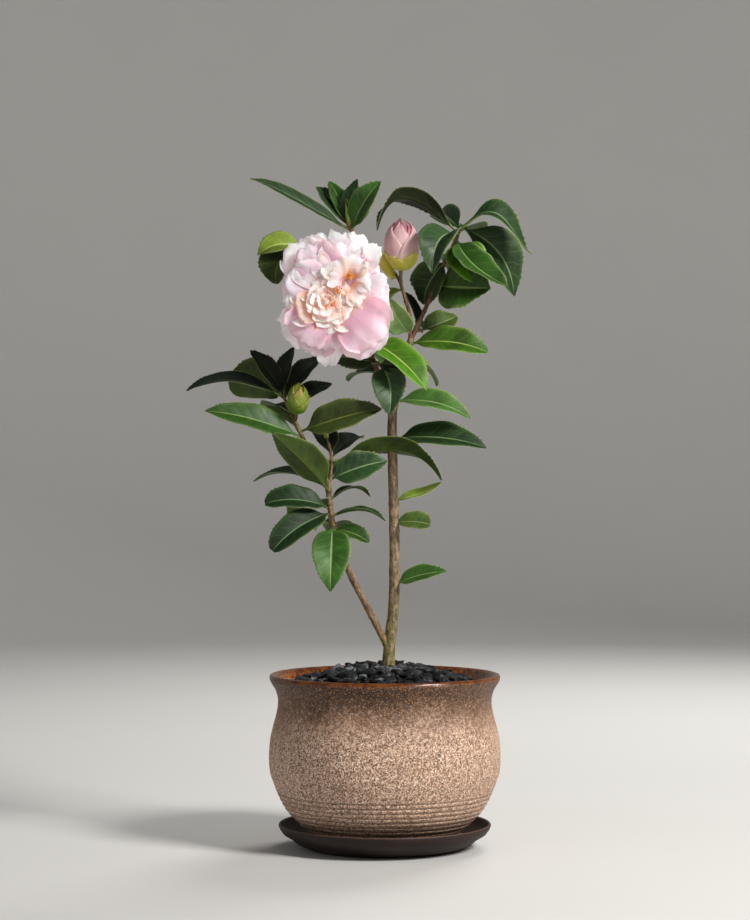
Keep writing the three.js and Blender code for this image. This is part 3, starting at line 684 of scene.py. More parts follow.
def mass_leaves(name, seed, carrier, leaves, _=()):
    """The leaves of one mass, by the same rule and the same draws as its solid."""
    draws, shape = seeded(seed), seeded(seed + 400)
    single = isinstance(carrier, str)
    lines = [Line(LIMBS[carrier]["path"])] if single else [Line(twig[0]) for twig in carrier]
    sheets = Sheets()
    for start, end, wide, arch, face, tint, *special in leaves:
        own = {"late": 0.25, "bow": 0, "blunt": 0, "fold": 20, **(special[0] if special else {})}
        sway = 6 * (next(draws) - 0.5)
        fold = own.pop("fold") + 8 * (next(draws) - 0.5)
        root = nearest(lines, start)
        leaf(sheets, root, Vector(end), wide, arch, face, tint, sway, fold, shape, **own)
    piece = "leaf_of_" + name if single else name + "_leaves"
    finished(piece, sheets.mesh(name), [name])


for mass_name, mass in FOLIAGE.items():
    mass_leaves(mass_name, *mass)

# ---- Geometry Nodes: limbs, and pebbles ----
SOCKETS = {
    int: "NodeSocketInt", float: "NodeSocketFloat", bpy.types.Material: "NodeSocketMaterial",
    bpy.types.Collection: "NodeSocketCollection",
}


def grown(name, mesh, build, inputs):
    """Runs a node tree that build() fills on a mesh, and returns the plain mesh that comes out."""
    group = bpy.data.node_groups.new(name, "GeometryNodeTree")
    for way in ("INPUT", "OUTPUT"):
        group.interface.new_socket("Geometry", in_out=way, socket_type="NodeSocketGeometry")
    sockets = {}
    for key, value in inputs.items():
        kind = next(k for t, k in SOCKETS.items() if isinstance(value, t))
        sockets[key] = group.interface.new_socket(key, in_out="INPUT", socket_type=kind).identifier
    tree = Tree(group)
    entry = group.nodes.new("NodeGroupInput")
    given = {s.name: Value(tree, s) for s in entry.outputs if s.name}
    whole = tree.node("GeometryNodeRealizeInstances", {}, {0: build(tree, given)})
    inputs_of_end = {"Geometry": whole, "Material": given["Finish"]}
    whole = tree.node("GeometryNodeSetMaterial", {}, inputs_of_end)
    group.links.new(whole.socket, group.nodes.new("NodeGroupOutput").inputs[0])
    holder = bpy.data.objects.new(name, mesh)
    SHOWN.link(holder)
    modifier = holder.modifiers.new(name, "NODES")
    modifier.node_group = group
    for key, value in inputs.items():
        modifier[sockets[key]] = value
    ready = holder.evaluated_get(bpy.context.evaluated_depsgraph_get())
    made = bpy.data.meshes.new_from_object(ready)
    holder.modifiers.remove(modifier)
    bpy.data.objects.remove(holder)
    bpy.data.node_groups.remove(group)
    return made


def bark_tree(tree, given):
    """Sweeps a ring along each line at its points' own radius and roughens the skin."""
    line = tree.node("GeometryNodeMeshToCurve", {}, {0: given["Geometry"]})
    kind = {"data_type": "FLOAT"}
    thick = tree.node("GeometryNodeInputNamedAttribute", kind, {"Name": "thick"})
    sides = {"Resolution": given["Sides"], "Radius": 1.0}
    ring = tree.node("GeometryNodeCurvePrimitiveCircle", {}, sides)
    sweep = {"Curve": line, "Profile Curve": ring, "Scale": thick, "Fill Caps": True}
    skin = tree.node("GeometryNodeCurveToMesh", {}, sweep)
    here = tree.node("GeometryNodeInputPosition")
    inputs = {"Vector": here, "Scale": given["Grain"], "Detail": 3.0}
    grain = tree.node("ShaderNodeTexNoise", {}, inputs)
    push = {0: tree.node("GeometryNodeInputNormal"), "Scale": (grain - 0.5) * given["Relief"]}
    push = tree.node("ShaderNodeVectorMath", {"operation": "SCALE"}, push)
    return tree.node("GeometryNodeSetPosition", {}, {"Geometry": skin, "Offset": push})


def skinned(name, lines, finish_of, sides, relief=0.5, grain=260.0):
    """One mesh of bark over lines of (point, radius, tone), in millimetres."""
    mesh = bpy.data.meshes.new(name)
    points = [p for line in lines for p in line]
    edges, start = [], 0
    for line in lines:
        edges += [(start + i, start + i + 1) for i in range(len(line) - 1)]
        start += len(line)
    mesh.from_pydata([p[0] * MM for p in points], edges, [])
    for place, key, unit in ((1, "thick", MM), (2, "tone", 1)):
        layer = mesh.attributes.new(key, "FLOAT", "POINT")
        layer.data.foreach_set("value", [p[place] * unit for p in points])
    inputs = {"Sides": sides, "Relief": relief * MM * 2, "Grain": grain, "Finish": finish_of}
    return grown(name, mesh, bark_tree, inputs)


def limb_line(path, thick, thin, steps, swell):
    """Points along a limb with the source's taper: (point, radius, tone)."""
    line = Line(path)
    made = []
    for i in range(steps + 1):
        share = i / steps
        radius = lerp(thick, thin, share**1.5) + swell(share)
        made.append((line.at(share), radius, share))
    return made


def bark_finish(name, low, high, patch, speck, speck_size, amount):
    """Young bark: its colour changes along the limb, with darker specks and pale streaks."""
    made = Finish(name)
    tone, here, long = made.layer("tone"), made.place(), made.place((1, 1, 0.34))
    streak = made.noise(long, 420, 3)
    grain = made.noise(long, 1100, 2)
    blotch = made.noise(here, 95, 3)
    specks = made.cells(here, speck_size).step(0.34, 0.16) * made.noise(here, 90).step(0.45, 0.62)
    base = made.over(
        made.mix(tone.step(0.08, 0.3), paint(low), paint(high)),
        (blotch.step(0.48, 0.64) * 0.8, patch),
        (streak.step(0.5, 0.6) * 0.55, high, 2.3),
        (streak.step(0.46, 0.36) * 0.5, speck),
        (grain.step(0.5, 0.62) * 0.3, patch, 2.2),
        (grain.step(0.46, 0.36) * 0.5, speck),
        (specks * amount, speck),
    )
    return made.use(base, 0.55 + streak * 0.3, streak * 0.9 + blotch - specks * 0.7, 0.8, 0.8)


BARK = {
    name: bark_finish("bark_" + name, *how)
    for name, how in {
        "main": ("6e6a34", "7a6450", "66603a", "2a2016", 430, 0.8),
        "side": ("8a7446", "7c6248", "5c432c", "2e1e14", 460, 0.7),
        "shoot": ("4c2a1e", "5a3828", "6e5636", "24140f", 500, 0.6),
        "twig": ("523a28", "5e4630", "6c6830", "281a14", 420, 0.75),
    }.items()
}


def ringed(form):
    """How much a limb swells at its foot, at its rings, and in its upper half if it is stouter."""
    spots = form.get("rings", [0.35, 0.7])

    def swell(share):
        flare = form.get("flare", 0) * math.exp(-share * 30)
        rings = sum(0.5 * math.exp(-(((share - s) * 90) ** 2)) for s in spots)
        upper = clamp((share - 0.45) * 5) * clamp((0.92 - share) * 8)
        return flare + rings + form.get("stouter", 0) * upper

    return swell


for limb_name, form in LIMBS.items():
    steps, bark = form.get("steps", 70), BARK[form.get("bark", "shoot")]
    line = limb_line(form["path"], form["thick"], form["thin"], steps, ringed(form))
    finished("bark_of_" + limb_name, skinned(limb_name, [line], bark, 20), [limb_name])

STALKS = [
    ([(15, -2, 479), (13.8, -6, 490), (13.8, -8, 500)], 1.3, 1.8),
    ([(-77, -5, 366), (-76.2, -10, 369), (-75.8, -12.5, 375)], 1.3, 1.8),
    ([(-27, -6, 455), (-34, -16, 462), (-41, -34, 468)], 1.6, 2.4),
]


def knobbly(thick):
    return lambda share: 0.28 * thick * abs(math.sin(share * 9.4)) ** 9


twig_lines = []
for _, carrier, *_ in FOLIAGE.values():
    if not isinstance(carrier, str):
        twig_lines += [limb_line(*twig, 40, knobbly(twig[1])) for twig in carrier]
twig_lines += [limb_line(*stalk, 16, lambda share: 0) for stalk in STALKS]
finished("twigs", skinned("twigs", twig_lines, BARK["twig"], 12, 0.5, 320.0))

# ---- Pot, saucer and soil ----
SAUCER = [
    (0, 0), (66, 0), (67, 0.6), (75.9, 3.8), (80.6, 7.8), (87.4, 11.8), (90.2, 15.5), (91.5, 18.6),
    (91.3, 19.8), (90.6, 20.4), (89.6, 20.1), (88.6, 18.6), (86.6, 15.6), (82, 12.6), (76, 9.6),
    (70, 6.8), (66, 6), (0, 6),
]
POT_FOOT, POT_NECK = 6.3, 143
POT_SIDE = crossing([
    (6.3, 61.5), (12, 65), (15.5, 67.8), (20.5, 73.4), (25, 78), (29, 82.1), (34.4, 86.2),
    (40, 89.3),
    (45, 91.7), (50, 93.8), (57, 96.4), (64, 98.7), (71, 99.6), (80, 99.8), (88, 99.3), (95, 98.4),
    (105, 96.1), (112, 94.1), (122, 92.2), (129, 92.3), (136, 94.4), (140, 96.9), (143, 98.6),
])
POT_LIP = [
    (99.3, 145), (99.4, 146.6), (98.8, 148.1), (97.4, 148.8), (95.6, 148.5), (93.6, 146.8),
    (92, 144),
]
WALL, POT_FLOOR = 7, 15.3
RINGS = {"from": 11.5, "to": 53, "pitch": 4.15, "deep": 0.6}


def ring(radius, height, count):
    """Points round the Z axis."""
    angles = [2 * math.pi * k / count for k in range(count)]
    return [Vector((radius * math.cos(a), radius * math.sin(a), height)) for a in angles]


def turned(name, profile, facets, material):
    """A closed solid of revolution from (radius, height) points that run from axis to axis."""
    mesh = bpy.data.meshes.new(name)
    rings = profile[1:-1]
    points = [Vector((0, 0, profile[0][1])), Vector((0, 0, profile[-1][1]))]
    for radius, height in rings:
        points += ring(radius, height, facets)
    faces = []
    last = 2 + (len(rings) - 1) * facets
    for k in range(facets):
        after = (k + 1) % facets
        faces.append((0, 2 + after, 2 + k))
        faces.append((1, last + k, last + after))
        for i in range(len(rings) - 1):
            a, b = 2 + i * facets, 2 + (i + 1) * facets
            faces.append((a + k, a + after, b + after, b + k))
    mesh.from_pydata([p * MM for p in points], [], faces)
    mesh.materials.append(material)
    return mesh


def pot_profile():
    outside = []
    steps = round((POT_NECK - POT_FOOT) / 0.55)
    for i in range(steps + 1):
        height = lerp(POT_FOOT, POT_NECK, i / steps)
        radius = POT_SIDE(height)
        within = clamp((height - RINGS["from"]) / 3) * clamp((RINGS["to"] - height) / 6)
        wave = math.cos(2 * math.pi * height / RINGS["pitch"])
        radius += RINGS["deep"] * within * (wave if wave < 0 else 0.35 * wave)
        outside.append((radius, height))
    inside = [(POT_SIDE(h) - WALL, h) for h in range(138, 24, -6)]
    bottom = [(60, POT_FLOOR), (0, POT_FLOOR)]
    return [(0, POT_FOOT), (56, POT_FOOT), *outside, *POT_LIP, *inside, *bottom]


def pot_finish():
    """Sandy stoneware whose brown glaze runs down from the lip and breaks into specks."""
    made = Finish("stoneware", Specular_IOR_Level=0.45)
    here = made.place()
    x, y, z = made.parts(here)
    wide = made.noise(here, 9, 2)
    drift = made.noise(here, 26, 3)
    grain = made.noise(here, 560, 2, 0.7)
    sand = made.noise(here, 820, 1, 0.6)
    blot = made.noise(here, 300, 3, 0.6)
    # The turning marks hold shadow, between the heights where they are cut.
    low, high = RINGS["from"] * MM, RINGS["to"] * MM
    groove = abs((z * (1000 / RINGS["pitch"])).fraction() - 0.5).step(0.26, 0.08)
    cut = z.step(low, low + 0.003) * z.step(high, high - 0.006)
    # The height where the glaze ends wanders round the pot, and its edge breaks up with the sand.
    edge = z + (drift - 0.5) * 0.03 + (grain - 0.5) * 0.08 + (sand - 0.5) * 0.08
    band = (edge + (blot - 0.5) * 0.03).step(0.103, 0.134)
    brown = made.mix(grain.step(0.44, 0.56), paint("120804"), paint("3f2212"))
    brown = made.over(brown, (sand.step(0.55, 0.63) * 0.7, "b08052"))
    base = made.over(
        made.mix(grain.step(0.42, 0.58), paint("866755"), paint("cfa88e")),
        (sand.step(0.55, 0.64) * 0.9, "fbe6d4"),
        (sand.step(0.44, 0.36) * 0.9, "3c2a1c"),
        (blot.step(0.52, 0.64) * 0.45, "7a5a44"),
        (blot.step(0.47, 0.38) * 0.35, "e4c6ae"),
        (wide.step(0.42, 0.66) * 0.22, "937256"),
        (groove * cut * 0.5, "4e3828"),
    )
    base = made.mix(band * 0.97, base, brown)
    inner = (x * x + y * y).step(0.00915, 0.00885) * z.step(0.1405, 0.142)
    lip = (z + (drift - 0.5) * 0.004).step(0.1445, 0.1472)
    top = made.node("ShaderNodeMath", {"operation": "MAXIMUM"}, {0: inner, 1: lip})
    glaze = made.over(
        made.mix(made.noise(here, 240, 3).step(0.35, 0.65), paint("5e2c0e"), paint("9c5c1e")),
        (lip * 0.6, "3e1c0c"),
        (sand.step(0.42, 0.34) * 0.6, "3c1a08"),
    )
    relief = (grain * 0.6 + sand * 0.5) * (1 - top * 0.85)
    base = made.mix(top, base, glaze)
    return made.use(base, 0.64 - top * 0.3 - band * 0.12, relief, 0.9, 0.9)


def saucer_finish():
    """Dark fired clay, with a painted highlight along its rim."""
    made = Finish("saucer_clay", Specular_IOR_Level=0.35)
    here = made.place()
    z = made.parts(here)[2]
    grain = made.noise(here, 700, 3)
    base = made.over(
        made.mix(made.noise(here, 24, 3).step(0.35, 0.7), paint("1c0f0b"), paint("2a1812")),
        (grain.step(0.5, 0.7) * 0.35, "3c2a23"),
        # Painted highlight: a paler band along the top of the rim.
        (z.step(0.0192, 0.0203) * 0.55, "6e554a"),
    )
    return made.use(base, 0.5 + grain * 0.2, grain, 0.3, 0.5)


def soil_finish():
    made = Finish("potting_mix", Roughness=0.95)
    crumb = made.noise(made.place(), 260, 4, 0.65)
    base = made.mix(crumb.step(0.35, 0.65), paint("17120f"), paint("3c2f26"))
    return made.use(base, None, crumb, 2.5, 0.8)


pot = turned("thrown_pot", pot_profile(), 160, pot_finish())
finished("thrown_pot", pot, ["pot"])
saucer = turned("turned_saucer", SAUCER, 128, saucer_finish())
finished("turned_saucer", saucer, ["saucer"])
for slot in frame["nodes"]["soil"].material_slots:
    slot.material = soil_finish()

# ---- Pebbles ----
PEBBLES = {"reach": 77, "spacing": 7.2, "size": 6.4, "seed": 5, "kinds": 6}
BED = crossing([(0, 155.5), (24, 154.6), (50, 149), (70, 142.8), (84.5, 139)])


def stone_kinds():
    """A few angular chips, each the hull of points on a flattened ball."""
    draw = random.Random(21)
    kinds = bpy.data.collections.new("chips")
    for k in range(PEBBLES["kinds"]):
        form = bmesh.new()
        flat = draw.uniform(0.5, 0.72)
        for _ in range(15):
            spot = Vector([draw.gauss(0, 1) for _ in range(3)]).normalized()
            spot *= draw.uniform(0.86, 1)
            form.verts.new((spot.x * 1.12, spot.y * draw.uniform(0.8, 0.9), spot.z * flat))
        hull = bmesh.ops.convex_hull(form, input=form.verts)
        inner = [v for v in hull["geom_interior"] if isinstance(v, bmesh.types.BMVert)]
        bmesh.ops.delete(form, geom=inner, context="VERTS")
        bmesh.ops.recalc_face_normals(form, faces=form.faces)
        mesh = bpy.data.meshes.new(f"chip_{k}")
        form.to_mesh(mesh)
        form.free()
        kinds.objects.link(bpy.data.objects.new(mesh.name, mesh))
    return kinds


def pebble_tree(tree, given):
    """Chips strewn over the bed, clear of the stem, each turned and sized at random."""
    spread = {"Mesh": given["Geometry"], "Distance Min": given["Spacing"], "Seed": given["Seed"]}
    spread["Density Max"] = 60000.0
    how = {"distribute_method": "POISSON"}
    strewn = tree.node("GeometryNodeDistributePointsOnFaces", how, spread)
    stem = tree.node("FunctionNodeInputVector", {"vector": (0.0035, 0, 0.155)})
    here = tree.node("GeometryNodeInputPosition")
    apart = {0: here, 1: stem}
    apart = tree.node("ShaderNodeVectorMath", {"operation": "DISTANCE"}, apart, out=1)
    near = tree.node("FunctionNodeCompare", {"operation": "LESS_THAN"}, {0: apart, 1: 0.0085})
    kept = {"Geometry": strewn, "Selection": near}
    strewn = tree.node("GeometryNodeDeleteGeometry", {}, kept)

    def drawn(kind, low, high, seed):
        """A random vector, number or whole number from low to high."""
        out = ("FLOAT_VECTOR", "FLOAT", "INT").index(kind)
        ending = ("", "_001", "_002")[out]
        inputs = {"Min" + ending: low, "Max" + ending: high, "Seed": seed}
        return tree.node("FunctionNodeRandomValue", {"data_type": kind}, inputs, out)

    turn = drawn("FLOAT_VECTOR", (-0.5, -0.5, 0.0), (0.5, 0.5, 6.283), 3)
    turn = tree.node("FunctionNodeEulerToRotation", {}, {0: turn})
    size = drawn("FLOAT", 0.72, 1.3, 4) * given["Size"]
    shade = {"Geometry": strewn, "Name": "shade", "Value": drawn("FLOAT", 0.0, 1.0, 8)}
    kind = {"data_type": "FLOAT", "domain": "POINT"}
    strewn = tree.node("GeometryNodeStoreNamedAttribute", kind, shade)
    chips = {"Collection": given["Chips"], "Separate Children": True, "Reset Children": True}
    chips = tree.node("GeometryNodeCollectionInfo", {}, chips)
    inputs = {"Points": strewn, "Instance": chips, "Pick Instance": True, "Rotation": turn}
    pick = drawn("INT", 0, PEBBLES["kinds"] - 1, 6)
    inputs |= {"Scale": size, "Instance Index": pick}
    return tree.node("GeometryNodeInstanceOnPoints", {}, inputs)


def stone_finish():
    """Black stone with a few pale chips, thin veins, and dust where the stem stands."""
    made = Finish("black_stone", Specular_IOR_Level=0.36)
    here, shade = made.place(), made.layer("shade")
    x, y, _ = made.parts(here)
    cloud = made.noise(here, 190, 3)
    dust = made.noise(here, 420, 3)
    vein = abs(made.noise(here, 130, 4, 0.6, 1.2) - 0.5).step(0.012, 0.003)
    near = ((x - 0.001) ** 2 + (y + 0.014) ** 2).step(0.0006, 0.0001) * dust.step(0.35, 0.6)
    base = made.over(
        made.mix(shade.step(0.1, 0.95), paint("07080a"), paint("1d2025")),
        (shade.step(0.94, 0.98) * 0.7, "6a6f75"),
        (vein * made.noise(here, 50).step(0.5, 0.65) * 0.8, "a9adb2"),
        (dust.step(0.6, 0.75) * 0.25, "6c7076"),
        (near * 0.4, "8c8c90"),
    )
    return made.use(base, 0.34 + cloud * 0.3, cloud * 0.7 + dust * 0.3, 0.6, 0.6)


def pebble_bed(name, circles, count):
    """The rounded bed that the chips lie on, in rings round its middle."""
    bed = bpy.data.meshes.new(name)
    rows = [lerp(0, PEBBLES["reach"], i / circles) for i in range(circles + 1)]
    points, faces = [], []
    for radius in rows[1:]:
        points += ring(radius, BED(radius), count)
    points.append(Vector((0, 0, BED(0))))
    for k in range(count):
        after = (k + 1) % count
        faces.append((len(points) - 1, k, after))
        for i in range(circles - 1):
            a, b = i * count, (i + 1) * count
            faces.append((a + k, b + k, b + after, a + after))
    bed.from_pydata([p * MM for p in points], [], faces)
    return bed


def strewn_pebbles():
    chips = stone_kinds()
    inputs = {"Spacing": PEBBLES["spacing"] * MM, "Size": PEBBLES["size"] * MM}
    inputs |= {"Seed": PEBBLES["seed"], "Chips": chips, "Finish": stone_finish()}
    made = grown("pebbles", pebble_bed("pebble_bed", 11, 48), pebble_tree, inputs)
    for chip in list(chips.objects):
        bpy.data.objects.remove(chip)
    bpy.data.collections.remove(chips)
    return made


finished("pebble_dressing", strewn_pebbles(), ["pebbles"], smooth=False)


# ---- Petal and scale finishes ----
# How strongly a petal glows with its own colour: a painted glow that stands in for the light coming
# through it and lifts its shade.
PAINTED_GLOW = 0.07


def petal_finish(name, rim, middle, root, soft=0.6):
    """A petal that pales from its root to its rim, with fine veins that run along it and a painted
    glow of its own colour.
    """
    made = Finish(name, Subsurface_Weight=soft, Subsurface_Scale=0.009, Emission_Strength=PAINTED_GLOW,
                  Subsurface_Radius=(1.0, 0.45, 0.35))
    u, v = made.blade()
    cloud = made.noise(made.place(), 48, 3)
    fan = made.node("ShaderNodeCombineXYZ", {}, {0: (u - 0.5) * 30, 1: v * 2.2, 2: cloud})
    vein = made.noise(fan, 1.0, 3, 0.55)
    reach = v + (cloud - 0.5) * 0.35
    base = made.over(
        made.mix(reach.step(0.08, 0.42), paint(root), paint(middle)),
        (reach.step(0.45, 0.92), rim),
        (vein.step(0.5, 0.75) * 0.22, middle),
    )
    # Painted glow: the petal's colour also feeds its emission, so it shines though it is no lamp.
    made.feed("Emission Color", base)
    return made.use(base, 0.5 + cloud * 0.2, vein * 0.7 + cloud * 0.6, 0.8, 0.5)


def scale_finish(name, low, high, edge, coat=0.1):
    """A bud scale: smooth, with a tinted tip and a thin papery edge."""
    made = Finish(name, Coat_Weight=coat, Coat_Roughness=0.3)
    u, v = made.blade()
    cloud = made.noise(made.place(), 160, 3)
    base = made.over(
        made.mix((v + (cloud - 0.5) * 0.5).step(0.3, 1.0), paint(low), paint(high)),
        (abs(u * 2 - 1).step(0.8, 1.0) * 0.6, edge),
        (v.step(0.9, 1.0) * 0.6, edge),
    )
    return made.use(base, 0.38 + cloud * 0.2, cloud, 0.4, 0.5)


# Each petal's colour at its rim, along its middle and at its root, and how soft it is.
PETAL = {
    name: petal_finish("petal_" + name, *how)
    for name, how in {
        "outer": ("f8e9ec", "efc0d0", "df94a6"),
        "blush": ("f3d2dc", "e6a2b6", "d67f94"),
        "skirt": ("f4c6d2", "e89fb2", "f0ae74"),
        "deep": ("eea9b4", "e0707f", "cf4f62"),
        "white": ("fdf3f0", "f8dfe2", "e9a9b2"),
        "cream": ("fff1ea", "fddccc", "f6ab78"),
        "heart": ("fdd0be", "f6b092", "e88448"),
        "of_bud": ("c9969a", "d6aaaa", "e4c8bc", 0.3),
        "of_bud_inner": ("a8646e", "bd8288", "d0a4a2", 0.3),
    }.items()
}
SCALE = {
    name: scale_finish("scale_" + name, *how)
    for name, how in {
        "sepal": ("bfbb40", "e0d466", "ebe0a2"),
        "green": ("5f7a14", "7c8a24", "9a6a3a"),
        "tip": ("6c8422", "96803e", "8a4a30"),
        "shoot": ("8da63c", "b6bf58", "8a6a3a"),
        "husk": ("6a4a2c", "86643c", "4a3220", 0.0),
    }.items()
}

# ---- Bloom ----
BLOOM = {"centre": (-42, -40, 469), "facing": (-0.1, -1, 0.12)}
PETAL_THICK = 0.4
PETAL_WIDTH = crossing([(0, 0.34), (0.2, 0.66), (0.45, 0.93), (0.7, 1), (0.9, 0.93), (1, 0.82)])
# Each petal: its finish, where it starts (right of, above and ahead of the middle), the angle from
# +X that it leaves at as seen from the front, its length and width, how steeply it rises at its
# start and its end, its cup, its ruffle and how ragged its rim is.
PETALS = [
    # the outer ring
    ("outer", (0, 5), -2, 99, 57, 50, 25, -25, -0.1, 3.0, 1.2),
    ("white", (9, 9), -1, 52, 47, 22, 22, 2, 0.3, 1.4, 0.5),
    ("blush", (5, 2), -2, 20, 43, 44, 22, -30, -0.15, 3.0, 0.5),
    ("blush", (5, -1), -6, -12, 42, 44, 25, -28, -0.1, 3.0, 0.4),
    ("skirt", (5, -5), -3, -52, 52, 48, 22, -28, -0.15, 2.4, 0.5),
    ("outer", (-3, -5), -6, -94, 53, 26, 15, -18, 0.1, 1.8, 0.7),
    ("blush", (-2, -5), -3, -117, 47, 42, 22, -25, -0.1, 3.4, 1.2),
    ("outer", (-5, -4), -6, -143, 51, 44, 20, -28, -0.1, 4.0, 1.6),
    ("outer", (-5, 0), -2, -174, 41, 44, 25, -25, -0.1, 4.0, 1.6),
    ("blush", (-5, 2), -6, 151, 45, 42, 25, -20, 0.1, 3.6, 1.4),
    ("outer", (-4, 5), -2, 126, 58, 46, 25, -20, 0.05, 3.2, 1.4),
    ("outer", (3, 5), -6, 75, 57, 38, 25, -20, 0.0, 2.6, 1.0),
    # the second ring
    ("blush", (-3, 6), 2, 114, 47, 42, 32, -18, 0.1, 3.2, 1.0),
    ("outer", (3, 6), 2, 84, 44, 42, 30, -20, 0.1, 3.0, 1.0),
    ("outer", (9, 12), 1, 56, 27, 26, 34, -10, 0.25, 2.2, 0.5),
    ("outer", (10, 12), 3, 72, 25, 24, 36, -12, 0.2, 2.0, 0.5),
    ("deep", (19, 23), 5, 62, 14, 11, 32, -4, 0.5, 0.8, 0.3),
    ("outer", (9, 5), 1, 27, 38, 36, 36, -18, 0.1, 4.2, 0.8),
    ("blush", (9, 2), -1, 5, 38, 40, 36, -22, 0.05, 4.6, 0.8),
    ("skirt", (5, -5), 6.9, -41, 50, 52, 30, -30, -0.05, 4.2, 0.9),
    ("blush", (-2, -8), 2, -88, 38, 46, 34, -22, 0.0, 3.2, 0.9),
    ("skirt", (-8, -8), 4, -128, 38, 44, 36, -16, 0.05, 3.6, 1.2),
    ("outer", (-9, 0), 3, -165, 34, 42, 36, -12, 0.1, 3.4, 1.5),
    ("outer", (-8, 5), 3, 150, 36, 38, 36, -10, 0.1, 3.2, 1.2),
    # the petals that stand round the two hearts
    ("white", (-9, 9), 6, 124, 32, 36, 26, -22, 0.1, 2.4, 0.8),
    ("white", (-4, 12), 7, 94, 25, 32, 24, -26, 0.1, 2.2, 0.5),
    ("white", (-13, 6), 5, 162, 25, 32, 24, -24, 0.1, 2.6, 1.2),
    ("cream", (6, 14), 9, 116, 19, 24, 32, -20, 0.15, 2.0, 0.7),
    ("cream", (14, 18), 7, 62, 18, 24, 40, -14, 0.2, 2.2, 0.8),
    ("white", (16, 14), 7, 8, 16, 24, 46, -10, 0.2, 2.2, 0.7),
    ("cream", (13, 9), 7, -44, 19, 24, 42, -14, 0.2, 2.0, 0.7),
    ("white", (7, 13), 10, 160, 13, 17, 38, -10, 0.3, 1.6, 0.6),
]
# The rounds of the main heart from the outside in: how many petals, their first angle, how far
# ahead and how far out they start, their length and width, and how they rise.
ROUNDS = [
    (6, 26, 4, 6, 26, 32, 34, -10),
    (5, 62, 5.5, 5, 21, 28, 46, -4),
    (4, 8, 7, 4.4, 16, 24, 58, 4),
    (3, 34, 8, 3.4, 12.5, 19, 68, 20),
    (3, 92, 9, 1.8, 9, 12, 78, 34),
]
HEART = {"at": (-7, -4), "seed": 9, "lopsided": 0.34, "leans_from": 62}
STAMENS = [((13.5, 17), 11, 2.2, 12), ((4, 5.5), 11, 3, 13), ((8, -7), 6, 2.2, 9)]


def petal(sheets, base, axis, angle, length, wide, ends, cup, ruffle, finish, ragged, rows=15):
    """One petal that leaves base at an angle round the axis and bends as it goes outwards. finish
    is its material, or the pair of its inner and its outer side."""
    axis = axis.normalized()
    right = Vector((0, 0, 1)).cross(-axis).normalized()
    right = -right if right.x < 0 else right
    high = axis.cross(right)
    high = -high if high.z < 0 else high
    out = right * math.cos(math.radians(angle)) + high * math.sin(math.radians(angle))
    side = out.cross(axis)
    first, last = (math.radians(e) for e in ends)
    run = length / (rows - 1)
    path = [Vector((0, 0))]
    for i in range(1, rows):
        bend = lerp(first, last, (i / (rows - 1)) ** 0.8)
        path.append(path[-1] + Vector((math.cos(bend), math.sin(bend))))
    across = [math.sin(math.pi / 2 * k / 9) for k in range(-9, 10)]
    seed = Vector((angle * 0.37, length * 0.61, wide * 0.23))
    phase = angle * 1.7 + wide
    pairs = []
    for i, spot in enumerate(path):
        share = i / (rows - 1)
        bend = lerp(first, last, share**0.8)
        normal = axis * math.cos(bend) - out * math.sin(bend)
        ahead = out * math.cos(bend) + axis * math.sin(bend)
        half = wide / 2 * PETAL_WIDTH(share)
        pairs.append([])
        for a in across:
            round_off = (0.17 * a * a + 0.05 * math.exp(-((a * 6) ** 2))) * share**2.5
            place = base + (out * spot.x + axis * spot.y) * run - ahead * round_off * length
            place += side * half * a
            wavy = 0.5 * math.sin(a * 5.2 + phase) + 0.36 * math.sin(a * 9.7 + 2.3 * phase)
            wavy += 0.2 * math.sin(a * 18 + phase)
            lift = cup * half * a * a + ruffle * wavy * share**2
            rough = noise.noise(place * 0.09 + seed)
            fine = noise.noise(place * 0.24 + seed * 2)
            lift += (2.0 * rough + 1.6 * fine) * min(1.0, length / 36) ** 1.4 * share
            notch = math.sin(a * 13 + phase) + 0.8 * math.sin(a * 23 + 2 * phase) + 1.6 * fine
            place += ahead * notch * ragged * 0.95 * share**4
            place += side * fine * ragged * abs(a) ** 3 * 1.6 * share
            sides = (lift + PETAL_THICK / 2, lift - PETAL_THICK / 2)
            pairs[-1].append([place + normal * side for side in sides])
    sheets.add(pairs, across, *(finish if isinstance(finish, tuple) else (finish, finish)))


def stamen_finish():
    """Pale threads with orange pollen at their ends."""
    made = Finish("stamen")
    tone = made.layer("tone")
    dust = made.noise(made.place(), 900, 2)
    base = made.over(
        made.mix(tone.step(0.45, 0.8), paint("f2d49a"), paint("e2902c")),
        (dust.step(0.5, 0.7) * tone.step(0.7, 0.9) * 0.5, "f6c04c"),
    )
    return made.use(base, 0.5 + dust * 0.2, dust, 0.2, 0.4)


